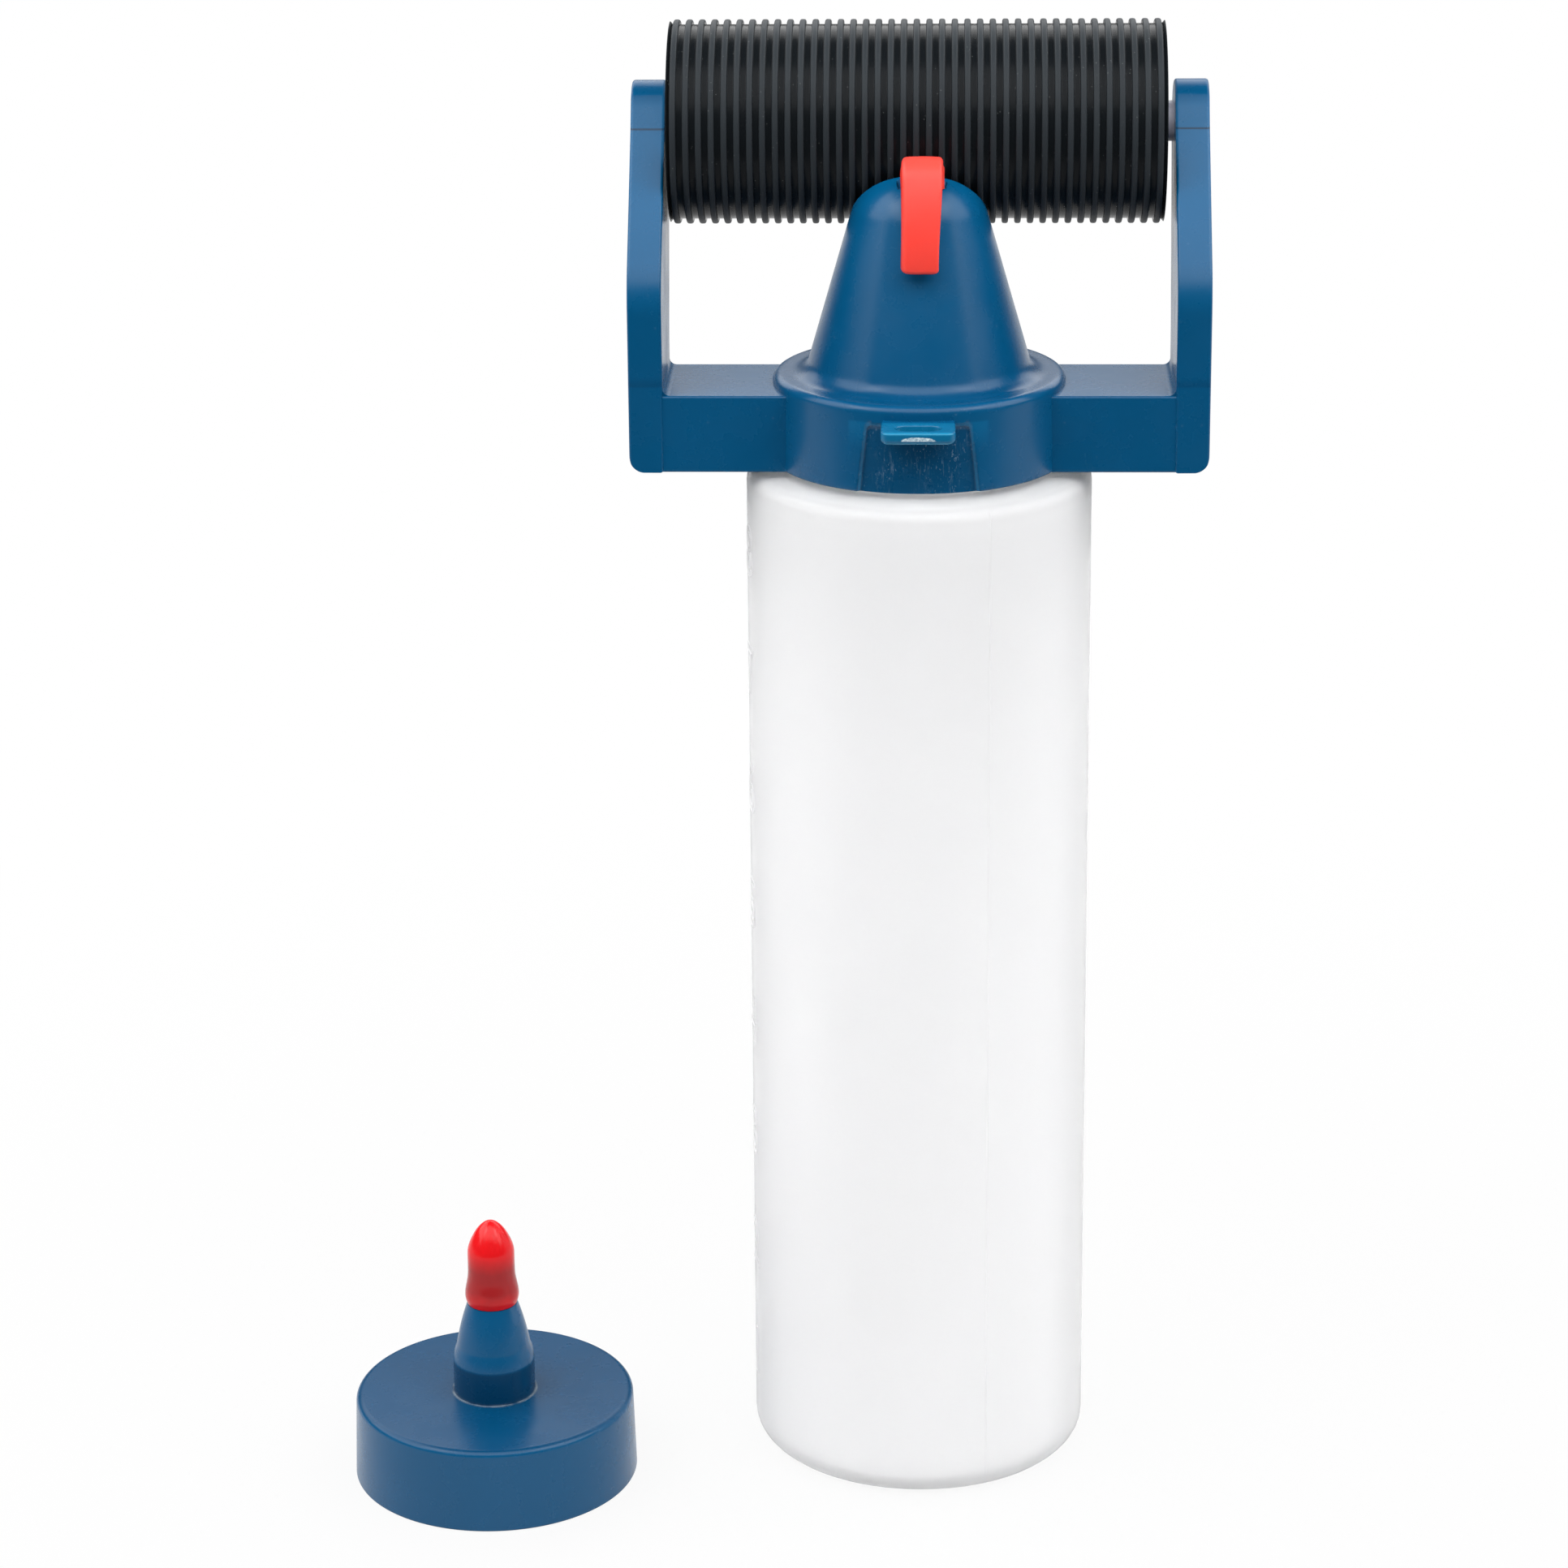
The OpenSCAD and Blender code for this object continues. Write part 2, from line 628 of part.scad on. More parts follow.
module nozzle_cap() {
  top_r = cap_top_d / 2;
  wall = spout_wall;
  bore_r = nozzle_bore_d / 2;
  cone = [for (s = cone_shares)
    [cone_foot_r + (nozzle_top_d / 2 - cone_foot_r) * s[1], cone_z + nozzle_cone_h * s[0]]];
  color([0.06, 0.27, 0.45]) translate([-cap_x, -cap_y, 0]) {
    difference() {
      rotate_extrude() {
        polygon([[0, 0], [cap_d / 2, 0], [top_r, cap_h - cap_round], [0, cap_h - cap_round]]);
        translate([0, cap_h - 2 * cap_round]) square([top_r - cap_round, 2 * cap_round]);
        translate([top_r - cap_round, cap_h - cap_round]) circle(r = cap_round);
        square([nozzle_r, cone_z]);
        square([nozzle_r + weld, cap_h + cap_round / 8]);
        polygon(concat([[0, cone_z - weld], [cone_foot_r, cone_z - weld]], cone, [[0, cone_top_z]]));
        translate([0, cone_top_z - weld]) square([spigot_r, spigot_h + weld]);
      }
      translate([0, 0, -cut]) cylinder(r = collar_bore_r, h = cap_roof_z + cut);
      rotate_extrude() polygon([
        [0, cap_roof_z - cut], [nozzle_r - wall, cap_roof_z - cut], [cone_foot_r - wall, cone_z],
        [bore_r, cone_top_z], [bore_r, cone_top_z + spigot_h + cut], [0, cone_top_z + spigot_h + cut]
      ]);
    }
    thread_ridge(collar_bore_r, cap_thread_z, 0, thread_turns, -1);
  }
}

module nozzle_liner() {
  color([0.92, 0.92, 0.9]) translate([-cap_x, -cap_y, cap_roof_z - seal_clear - liner_t]) difference() {
    cylinder(r = liner_r, h = liner_t);
    translate([0, 0, -cut]) cylinder(r = liner_r - liner_w, h = liner_t + 2 * cut);
  }
}

module nozzle_tip() {
  outline = [for (s = tip_shares) [tip_d / 2 * s[1], tip_z + tip_h * s[0]]];
  color([0.86, 0.16, 0.15]) translate([-cap_x, -cap_y, 0]) difference() {
    rotate_extrude() polygon(concat([[0, tip_z]], outline));
    translate([0, 0, tip_z - cut]) cylinder(r = tip_bore_r, h = tip_bore_h + cut);
  }
}

bottle();
roller_head();
head_liner();
axle();
core_bush_left();
core_bush_right();
roller_core();
roller_sleeve();
spout_plug();
nozzle_cap();
nozzle_liner();
nozzle_tip();
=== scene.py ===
import math

import bmesh
import bpy
import numpy as np
from mathutils import Matrix, Vector


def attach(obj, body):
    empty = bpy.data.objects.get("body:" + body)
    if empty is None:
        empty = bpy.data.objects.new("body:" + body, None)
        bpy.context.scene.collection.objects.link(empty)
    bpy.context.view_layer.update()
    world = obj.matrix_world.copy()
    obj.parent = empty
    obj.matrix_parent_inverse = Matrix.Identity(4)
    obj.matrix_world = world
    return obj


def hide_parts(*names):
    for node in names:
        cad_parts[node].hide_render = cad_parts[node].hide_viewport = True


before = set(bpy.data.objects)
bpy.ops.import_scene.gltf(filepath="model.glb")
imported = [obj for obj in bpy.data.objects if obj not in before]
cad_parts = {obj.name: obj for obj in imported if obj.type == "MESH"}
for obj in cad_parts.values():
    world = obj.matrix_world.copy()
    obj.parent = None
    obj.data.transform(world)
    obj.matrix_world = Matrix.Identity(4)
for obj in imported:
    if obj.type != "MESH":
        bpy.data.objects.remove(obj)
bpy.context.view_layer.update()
mm = 0.001               # the shapes below are worked out in millimetres
print("frame loaded with", len(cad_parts), "nodes")


def toScene(name, data):
    thing = bpy.data.objects.new(name, data)
    bpy.context.scene.collection.objects.link(thing)
    return thing


# The camera

camera = {
    "focal": 5746.75, "middle": (916.26, 745.33), "picture": 1932,   # in pixels of the picture
    "turn": 0.0445489, "tilt": 0.3024056, "roll": -0.0110952,        # radians
    "place": (3.2521, -625.7166, 322.2292), "sensor": 36, "clip": (0.05, 50),
}


def placeCamera():
    # Axes of the view: turned about z, tilted down, then rolled about the line of sight
    t, p, r = camera["turn"], camera["tilt"], camera["roll"]
    right = np.array([math.cos(t), math.sin(t), 0.0])
    ahead = np.array([-math.sin(t), math.cos(t), 0.0]) * math.cos(p) - np.array([0, 0, math.sin(p)])
    up = np.cross(right, ahead)
    side = right * math.cos(r) + up * math.sin(r)
    top = up * math.cos(r) - right * math.sin(r)
    data = bpy.data.cameras.new("camera")
    data.sensor_width = camera["sensor"]
    data.lens = camera["focal"] * camera["sensor"] / camera["picture"]
    half = camera["picture"] / 2
    data.shift_x = (half - camera["middle"][0]) / camera["picture"]
    data.shift_y = (camera["middle"][1] - half) / camera["picture"]
    data.clip_start, data.clip_end = camera["clip"]
    thing = toScene("camera", data)
    axes = np.stack([side, top, -ahead], axis=1)
    thing.matrix_world = Matrix([[*axes[i], camera["place"][i] * mm] for i in range(3)] + [[0, 0, 0, 1]])
    bpy.context.scene.camera = thing


# Shader nodes that the studio and the finishes share

def noise(tree, scale, detail, roughness, place):
    # The scale is a number or another node's output
    node = tree.nodes.new("ShaderNodeTexNoise")
    node.inputs["Detail"].default_value, node.inputs["Roughness"].default_value = detail, roughness
    if isinstance(scale, float):
        node.inputs["Scale"].default_value = scale
    else:
        tree.links.new(scale, node.inputs["Scale"])
    tree.links.new(place, node.inputs["Vector"])
    return node.outputs["Fac"]


def ramp(tree, value, low, high, toMin=0.0, toMax=1.0, smooth=False):
    # Values from low to high become toMin to toMax, held at both ends
    node = tree.nodes.new("ShaderNodeMapRange")
    if smooth:
        node.interpolation_type = "SMOOTHSTEP"
    for label, number in (("From Min", low), ("From Max", high), ("To Min", toMin), ("To Max", toMax)):
        node.inputs[label].default_value = number
    tree.links.new(value, node.inputs["Value"])
    return node.outputs["Result"]


def calc(tree, operation, a, b=None):
    node = tree.nodes.new("ShaderNodeMath")
    node.operation = operation
    for i, value in enumerate((a, b)):
        if isinstance(value, (int, float)):
            node.inputs[i].default_value = value
        elif value is not None:
            tree.links.new(value, node.inputs[i])
    return node.outputs[0]


def product(tree, *values):
    out = values[0]
    for value in values[1:]:
        out = calc(tree, "MULTIPLY", out, value)
    return out


def reachOf(tree, a, b):
    # Distance from an axis: the square root of a^2 + b^2
    return calc(tree, "SQRT", calc(tree, "ADD", calc(tree, "MULTIPLY", a, a), calc(tree, "MULTIPLY", b, b)))


def mixColour(tree, share, a, b):
    node = tree.nodes.new("ShaderNodeMix")
    node.data_type = "RGBA"          # so sockets 6 and 7 are the two colours
    for socket, value in ((node.inputs[0], share), (node.inputs[6], a), (node.inputs[7], b)):
        if isinstance(value, tuple):
            socket.default_value = (*value[:3], 1)
        else:
            tree.links.new(value, socket)
    return node.outputs[2]


def within(tree, measures, limits):
    # Product of the limits: with two numbers a measure fades from 0 to 1, with four it also fades out again
    masks = []
    for label, *span in limits:
        masks.append(ramp(tree, measures[label], *span[:2]))
        if len(span) == 4:
            masks.append(ramp(tree, measures[label], span[3], span[2]))
    return product(tree, *masks)


def wash(tree, colour, measures, mark, *masks):
    # A mark is its share, its tone and its limits: the tone is laid over the colour where they and the masks allow
    share, tone, *limits = mark
    return mixColour(tree, product(tree, *masks, within(tree, measures, limits), share), colour, tone)


def mixShaders(tree, share, a, b):
    node = tree.nodes.new("ShaderNodeMixShader")
    for socket, value in zip(node.inputs, (share, a, b)):
        tree.links.new(value, socket)
    return node.outputs[0]


def objectPlace(tree, stretch=(1, 1, 1)):
    # Object coordinates, squeezed or stretched along each axis
    place, mapping = tree.nodes.new("ShaderNodeTexCoord"), tree.nodes.new("ShaderNodeMapping")
    mapping.inputs["Scale"].default_value = stretch
    tree.links.new(place.outputs["Object"], mapping.inputs["Vector"])
    return mapping.outputs["Vector"]


def objectParts(tree):
    # x, y and z of the place on the piece, in metres
    place, parts = tree.nodes.new("ShaderNodeTexCoord"), tree.nodes.new("ShaderNodeSeparateXYZ")
    tree.links.new(place.outputs["Object"], parts.inputs[0])
    return parts.outputs


def measuresOf(tree, axis=(0.0, 0.0)):
    # x, y and z on the piece, and reach as the distance from an upright axis
    x, y, z = objectParts(tree)
    reach = reachOf(tree, calc(tree, "SUBTRACT", x, axis[0]), calc(tree, "SUBTRACT", y, axis[1]))
    return {"x": x, "y": y, "z": z, "reach": reach}


def patchy(tree, scale, detail, roughness, low, high, toMin=0.0, toMax=1.0, stretch=(1, 1, 1)):
    # Noise on the piece: its values from low to high become toMin to toMax
    return ramp(tree, noise(tree, scale, detail, roughness, objectPlace(tree, stretch)), low, high, toMin, toMax)


# The soft studio

studio = {
    "sky": 0.07, "back": 0.09,       # light from the front and sides, and from the wall behind
    "wall": (0.45, 0.85),            # how far back that wall starts and is full
    "lamps": [                       # name, place, height of its aim, width, height, watts
        ("frontBox", (0.0, -0.5, 0.86), 0.14, 1.6, 0.8, 11.0),
        ("leftBox", (-0.75, 0.0, 0.75), 0.16, 1.2, 0.8, 9.3),
        ("rightBox", (0.75, 0.0, 0.75), 0.16, 1.2, 0.8, 9.3),
        ("backBox", (0.0, 0.62, 0.64), 0.64, 1.6, 0.6, 7.2),
    ],
    "floor": (0.5, 0.5, 0.5), "floorBox": (-3.0, 3.0, -0.26, 5.0), "floorHeight": -0.00005,
    "floorGlow": 0.91, "fade": (0.06, 0.3),    # its white at the object, and where it goes over to plain white
}


def makeSky():
    # White to the camera and through clear pieces; a dim room with a paler back wall to everything else
    world = bpy.data.worlds.new("sky")
    bpy.context.scene.world = world
    world.use_nodes = True
    tree = world.node_tree
    back, path, mix = tree.nodes["Background"], tree.nodes.new("ShaderNodeLightPath"), tree.nodes.new("ShaderNodeMix")
    back.inputs["Color"].default_value = (1, 1, 1, 1)
    mix.inputs["B"].default_value = 1.0
    ahead = tree.nodes.new("ShaderNodeSeparateXYZ")
    tree.links.new(tree.nodes.new("ShaderNodeTexCoord").outputs["Generated"], ahead.inputs[0])
    wall = ramp(tree, ahead.outputs["Y"], *studio["wall"], studio["sky"], studio["back"], smooth=True)
    seen = calc(tree, "MAXIMUM", path.outputs["Is Camera Ray"], path.outputs["Is Transmission Ray"])
    tree.links.new(seen, mix.inputs["Factor"])
    tree.links.new(wall, mix.inputs["A"])
    tree.links.new(mix.outputs["Result"], back.inputs["Strength"])


def makeLamps():
    for name, place, aimHeight, wide, high, watts in studio["lamps"]:
        data = bpy.data.lights.new(name, "AREA")
        data.shape, data.size, data.size_y, data.energy = "RECTANGLE", wide, high, watts
        lamp = toScene(name, data)
        lamp.location = place
        aim = Vector(place) - Vector((0, 0, aimHeight))
        lamp.rotation_euler = aim.to_track_quat("Z", "Y").to_euler()
        lamp.visible_camera = False


def makeFloor():
    # It takes shadows, glows white to the camera and in reflections, and is clear from below
    left, right, near, far = studio["floorBox"]
    low = studio["floorHeight"]
    mesh = bpy.data.meshes.new("floor")
    mesh.from_pydata([(left, near, low), (right, near, low), (right, far, low), (left, far, low)], [], [(0, 1, 2, 3)])
    floor = toScene("floor", mesh)
    paint = bpy.data.materials.new("paleFloor")
    paint.use_nodes = True
    tree = paint.node_tree
    tree.nodes.remove(tree.nodes["Principled BSDF"])
    matt, glow, clear, path, under, place, away = (tree.nodes.new("ShaderNode" + kind) for kind in (
        "BsdfDiffuse", "Emission", "BsdfTransparent", "LightPath", "NewGeometry", "TexCoord", "VectorMath"))
    matt.inputs["Color"].default_value = (*studio["floor"], 1)
    away.operation = "LENGTH"
    tree.links.new(place.outputs["Object"], away.inputs[0])
    fade = ramp(tree, away.outputs["Value"], *studio["fade"], studio["floorGlow"], 1.0, smooth=True)
    seen = calc(tree, "MAXIMUM", path.outputs["Is Camera Ray"], path.outputs["Is Glossy Ray"])
    seen = calc(tree, "MAXIMUM", seen, path.outputs["Is Transmission Ray"])
    top = mixShaders(tree, product(tree, seen, fade), matt.outputs[0], glow.outputs[0])
    whole = mixShaders(tree, under.outputs["Backfacing"], top, clear.outputs[0])
    tree.links.new(whole, tree.nodes["Material Output"].inputs["Surface"])
    mesh.materials.append(paint)


bpy.context.scene.view_settings.view_transform = "Standard"
placeCamera()
makeSky()
makeLamps()
makeFloor()
print("camera and studio ready")


# Lines and surfaces

def roundedLine(corners, closed=False, steps=6):
    # A corner (x, y, radius) becomes an arc that touches both its sides; radius 0 keeps it sharp
    out, count = [], len(corners)
    for i, (x, y, radius) in enumerate(corners):
        here = np.array((x, y), float)
        if radius <= 0 or (not closed and i in (0, count - 1)):
            out.append(here[None])
            continue
        a = np.array(corners[i - 1][:2]) - here
        b = np.array(corners[(i + 1) % count][:2]) - here
        a, b = a / np.linalg.norm(a), b / np.linalg.norm(b)
        half = math.acos(float(np.clip(a @ b, -1, 1))) / 2
        centre = here + (a + b) / np.linalg.norm(a + b) * radius / math.sin(half)
        start, end = here + a * radius / math.tan(half) - centre, here + b * radius / math.tan(half) - centre
        share, turn = np.linspace(0, 1, steps + 1)[:, None], math.pi - 2 * half
        out.append(centre + (np.sin((1 - share) * turn) * start + np.sin(share * turn) * end) / math.sin(turn))
    return np.concatenate(out)


def arcLine(centre, radius, a, b, steps):
    # Points of an arc from angle a to angle b, in degrees
    t = np.radians(np.linspace(a, b, steps + 1))
    return np.stack([centre[0] + radius * np.cos(t), centre[1] + radius * np.sin(t)], axis=1)


def spacedLine(line, step):
    # The same line with points added, none further apart than step
    parts = []
    for a, b in zip(line[:-1], line[1:]):
        n = max(1, math.ceil(np.linalg.norm(b - a) / step))
        parts.append(a + (b - a) * np.arange(n)[:, None] / n)
    return np.concatenate([*parts, line[-1:]])


def evenAngles(count):
    return np.arange(count) * 2 * math.pi / count


def turned(section, angles, centre=(0, 0)):
    # Section points (radius r, height h) turned about z: x = r cos a, y = r sin a, z = h
    r, h = section[:, 0], section[:, 1]
    c, s = np.cos(angles)[:, None], np.sin(angles)[:, None]
    return np.stack([centre[0] + c * r, centre[1] + s * r, np.broadcast_to(h, (len(angles), len(h)))], axis=-1)


def turnedAlongX(section, angles, centre):
    # The same about a line along x: x = h, y = r cos a, z = r sin a
    r, h = section[:, 0], section[:, 1]
    c, s = np.cos(angles)[:, None], np.sin(angles)[:, None]
    return np.stack([np.broadcast_to(h, (len(angles), len(h))), centre[0] + c * r, centre[1] + s * r], axis=-1)


def drawnIn(outline, inset):
    # Each point of a closed counterclockwise outline moves inwards along its mitre by the inset
    def outward(step):
        step = step / np.linalg.norm(step, axis=1)[:, None]
        return np.stack([step[:, 1], -step[:, 0]], axis=1)
    a, b = outward(outline - np.roll(outline, 1, axis=0)), outward(np.roll(outline, -1, axis=0) - outline)
    mitre = a + b
    return outline - inset * 2 * mitre / (mitre * mitre).sum(axis=1)[:, None]


def edgeLayers(low, high, radius, steps=4):
    # Depths and insets of a slab whose two rims are quarter circles: depth = r (1 - cos t), inset = r (1 - sin t)
    t = np.linspace(0, math.pi / 2, steps + 1)
    depth, inset = radius * (1 - np.cos(t)), radius * (1 - np.sin(t))
    return np.concatenate([low + depth, (high - depth)[::-1]]), np.concatenate([inset, inset[::-1]])


def gridObject(name, grid, closeU=True, closeV=False, caps=False, sharpAt=38):
    # Neighbouring points of the grid are joined by quads; caps close the first and the last row
    rows, columns = grid.shape[:2]
    index = np.arange(rows * columns).reshape(rows, columns)
    if closeU:
        index = np.concatenate([index, index[:1]])
    if closeV:
        index = np.concatenate([index, index[:, :1]], axis=1)
    quads = np.stack([index[:-1, :-1], index[1:, :-1], index[1:, 1:], index[:-1, 1:]], axis=-1).reshape(-1, 4)
    faces = quads.tolist()
    if caps:
        faces += [list(range(columns))[::-1], list(range((rows - 1) * columns, rows * columns))]
    mesh = bpy.data.meshes.new(name)
    mesh.from_pydata((grid.reshape(-1, 3) * mm).tolist(), [], faces)
    return finishedMesh(name, mesh, sharpAt)


def linked(name, mesh, sharpAt=38):
    mesh.shade_smooth()
    mesh.set_sharp_from_angle(angle=math.radians(sharpAt))
    return toScene(name, mesh)


def finishedMesh(name, mesh, sharpAt=38):
    # Merges seams and poles, points the faces outwards and marks the sharp edges
    work = bmesh.new()
    work.from_mesh(mesh)
    bmesh.ops.remove_doubles(work, verts=work.verts, dist=2e-7)
    bmesh.ops.dissolve_degenerate(work, edges=work.edges, dist=1e-8)
    bmesh.ops.recalc_face_normals(work, faces=work.faces)
    work.to_mesh(mesh)
    work.free()
    return linked(name, mesh, sharpAt)


def joined(name, things):
    # Several meshes of one moulding as one piece
    work = bmesh.new()
    for thing in things:
        work.from_mesh(thing.data)
    mesh = bpy.data.meshes.new(name)
    work.to_mesh(mesh)
    work.free()
    for thing in things:
        bpy.data.objects.remove(thing)
    return linked(name, mesh)


def pushed(name, layers):
    # Closed outlines one behind the other, joined along their way and closed at both ends
    return gridObject(name, np.array(layers), closeU=False, closeV=True, caps=True)


def acrossX(x, outline):
    # An outline (y, z) at one x
    return np.column_stack([np.full(len(outline), x), outline])


def dress(thing, body, slot, material, *nodes, weighted=False):
    # The piece rides on its body, takes its finish and stands for the named nodes
    thing.data.materials.clear()
    thing.data.materials.append(material)
    if weighted:
        thing.modifiers.new("evenNormals", "WEIGHTED_NORMAL").keep_sharp = True
    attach(thing, body)
    if nodes:
        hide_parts(*nodes)


def smoothStep(t):
    t = np.clip(t, 0, 1)
    return t * t * (3 - 2 * t)


def softMin(a, b, k):
    # The lower of two values, blended where they are closer than k
    h = np.clip(k - np.abs(a - b), 0, None) / k
    return np.minimum(a, b) - h * h * k / 4


# Finishes: places on the pieces are in metres here

socketKinds = {float: "NodeSocketFloat", tuple: "NodeSocketColor"}


def newGroup(name, output, kind, **inputs):
    # A node group with one output; each input is a number or a colour
    group = bpy.data.node_groups.new(name, "ShaderNodeTree")
    for label, value in inputs.items():
        socket = group.interface.new_socket(name=label, in_out="INPUT", socket_type=socketKinds[type(value)])
        socket.default_value = value
    group.interface.new_socket(name=output, in_out="OUTPUT", socket_type=socketKinds[kind])
    return group, group.nodes.new("NodeGroupInput").outputs, group.nodes.new("NodeGroupOutput").inputs


def makeGrain():
    # Fine pebbled height of a moulded skin, with a slow swell under it
    group, inside, outside = newGroup("mouldedGrain", "Height", float, Scale=3000.0, Swell=0.3)
    place = objectPlace(group)
    fine, slow = noise(group, inside["Scale"], 2.0, 0.6, place), noise(group, 120.0, 2.0, 0.5, place)
    group.links.new(calc(group, "ADD", fine, product(group, slow, inside["Swell"])), outside["Height"])
    return group


def makeTone():
    # Slow cloudiness of a colour: the colour goes up and down by Amount
    group, inside, outside = newGroup(
        "cloudyTone", "Colour", tuple, Colour=(0.5, 0.5, 0.5, 1), Amount=0.1, Scale=90.0)
    cloud = noise(group, inside["Scale"], 4.0, 0.55, objectPlace(group, (1, 1, 0.5)))
    gain = product(group, calc(group, "SUBTRACT", cloud, 0.5), 2.0, inside["Amount"])
    scale = group.nodes.new("ShaderNodeVectorMath")
    scale.operation = "SCALE"
    group.links.new(inside["Colour"], scale.inputs[0])
    group.links.new(calc(group, "ADD", gain, 1.0), scale.inputs["Scale"])
    group.links.new(scale.outputs[0], outside["Colour"])
    return group


def makeSpecks():
    # Small dust specks: the middles of fine cells, kept where a second noise is high
    group, inside, outside = newGroup("dustSpecks", "Mask", float, Scale=900.0, Amount=0.5)
    cells = group.nodes.new("ShaderNodeTexVoronoi")
    group.links.new(objectPlace(group), cells.inputs["Vector"])
    group.links.new(inside["Scale"], cells.inputs["Scale"])
    dots = ramp(group, cells.outputs["Distance"], 0.16, 0.08)
    some = patchy(group, 500.0, 1.0, 0.5, 0.56, 0.62)
    group.links.new(product(group, dots, some, inside["Amount"]), outside["Mask"])
    return group


grainGroup, toneGroup, speckGroup = makeGrain(), makeTone(), makeSpecks()


def useGroup(tree, group, **values):
    node = tree.nodes.new("ShaderNodeGroup")
    node.node_tree = group
    for label, value in values.items():
        if isinstance(value, tuple):
            node.inputs[label].default_value = (*value[:3], 1)
        elif isinstance(value, (int, float)):
            node.inputs[label].default_value = value
        else:
            tree.links.new(value, node.inputs[label])
    return node.outputs[0]


def newMaterial(name, **settings):
    material = bpy.data.materials.new(name)
    material.use_nodes = True
    skin = material.node_tree.nodes["Principled BSDF"]
    for label, value in settings.items():
        skin.inputs[label.replace("_", " ")].default_value = value
    return material, material.node_tree, skin


def feed(tree, skin, **values):
    for label, value in values.items():
        tree.links.new(value, skin.inputs[label.replace("_", " ")])


def grained(tree, skin, scale, swell, strength, depth):
    # The grain's height as bumps of this depth
    node = tree.nodes.new("ShaderNodeBump")
    node.inputs["Strength"].default_value, node.inputs["Distance"].default_value = strength, depth
    tree.links.new(useGroup(tree, grainGroup, Scale=scale, Swell=swell), node.inputs["Height"])
    feed(tree, skin, Normal=node.outputs["Normal"])


blue = {"colour": (0.0002, 0.0735, 0.181), "speck": (0.3, 0.42, 0.5), "roughness": (0.23, 0.31), "specular": 0.3}


def bluePlastic(name, marks, grain, specks):
    material, tree, skin = newMaterial(name, IOR=1.49, Specular_IOR_Level=blue["specular"])
    colour = useGroup(tree, toneGroup, Colour=blue["colour"], Amount=0.08, Scale=70.0)
    colour = mixColour(tree, useGroup(tree, speckGroup, Scale=700.0, Amount=specks), colour, blue["speck"])
    rough = patchy(tree, 160.0, 4.0, 0.6, 0.35, 0.65, *blue["roughness"])
    feed(tree, skin, Base_Color=marks(tree, skin, colour), Roughness=rough)
    grained(tree, skin, 2600.0, 0.5, grain, 0.00002)
    return material


inRecess = (("reach", 0.01995, 0.0198), ("z", 0.1584, 0.158), ("half", 0.0086, 0.0084), ("y", -0.015, -0.016))
onTab = (("y", -0.0209, -0.0213), ("z", 0.1594, 0.1591))
headTones = {           # in the limits, half is the distance from the middle plane and up the height on the scar
    "upper": (0.58, (0.0005, 0.124, 0.3), ("z", 0.171, 0.192)),          # painted light: paler towards the spout's and arms' tops
    # painted shade: darker on the flange's flat and the foot of its fillet
    "flangeFlat": (0.35, (0.0002, 0.03, 0.09), ("z", 0.16075, 0.1609, 0.1612, 0.1622)),
    # painted shade: darker on the arms' round tops
    "armTop": (0.6, (0.0003, 0.05, 0.13), ("z", 0.1968, 0.1985)),
    # painted shade inside the recess
    "recess": (0.25, (0.0005, 0.02, 0.055), *inRecess),
    # painted highlight: a pale line along the recess's rim
    "recessRim": (0.55, (0.004, 0.17, 0.36), ("reach", 0.01975, 0.0199, 0.02018, 0.0203), ("half", 0.0096, 0.0092),
                  ("z", 0.1587, 0.1584), ("y", -0.015, -0.016)),
    # painted light: the thin tab paler, standing in for light shining through it
    "tab": (0.7, (0.003, 0.15, 0.3), *onTab),
    # painted highlights along the tab's upper and lower rims
    "tabRimHighlights": (0.5, (0.02, 0.3, 0.5), *onTab, ("y", -0.0259, -0.0262)),
    "crease": (0.75, (0.0002, 0.012, 0.035), ("z", 0.19361, 0.19369, 0.19385, 0.19393), ("y", 0.007, 0.006),
               ("half", 0.034, 0.035)),                                  # painted shade: a dark line in the crease where the arms' round end meets their front
    "scuffs": (0.45, (0.3, 0.42, 0.52), *inRecess),
    "scar": (1.0, (0.66, 0.78, 0.82), ("up", -0.04, 0.04), ("y", -0.0262, -0.0263)),
}
headShine = {"armTop": (0.1965, 0.198), "specular": 0.14}
tabEdges = ((0.15865, 0.1588), (0.1577, 0.1575))         # the heights where the painted highlights on its upper and lower rim start
gateScar = {"z": 0.1579, "high": 0.00058, "half": 0.0024, "torn": 0.5, "rim": (1.26, 1.16)}


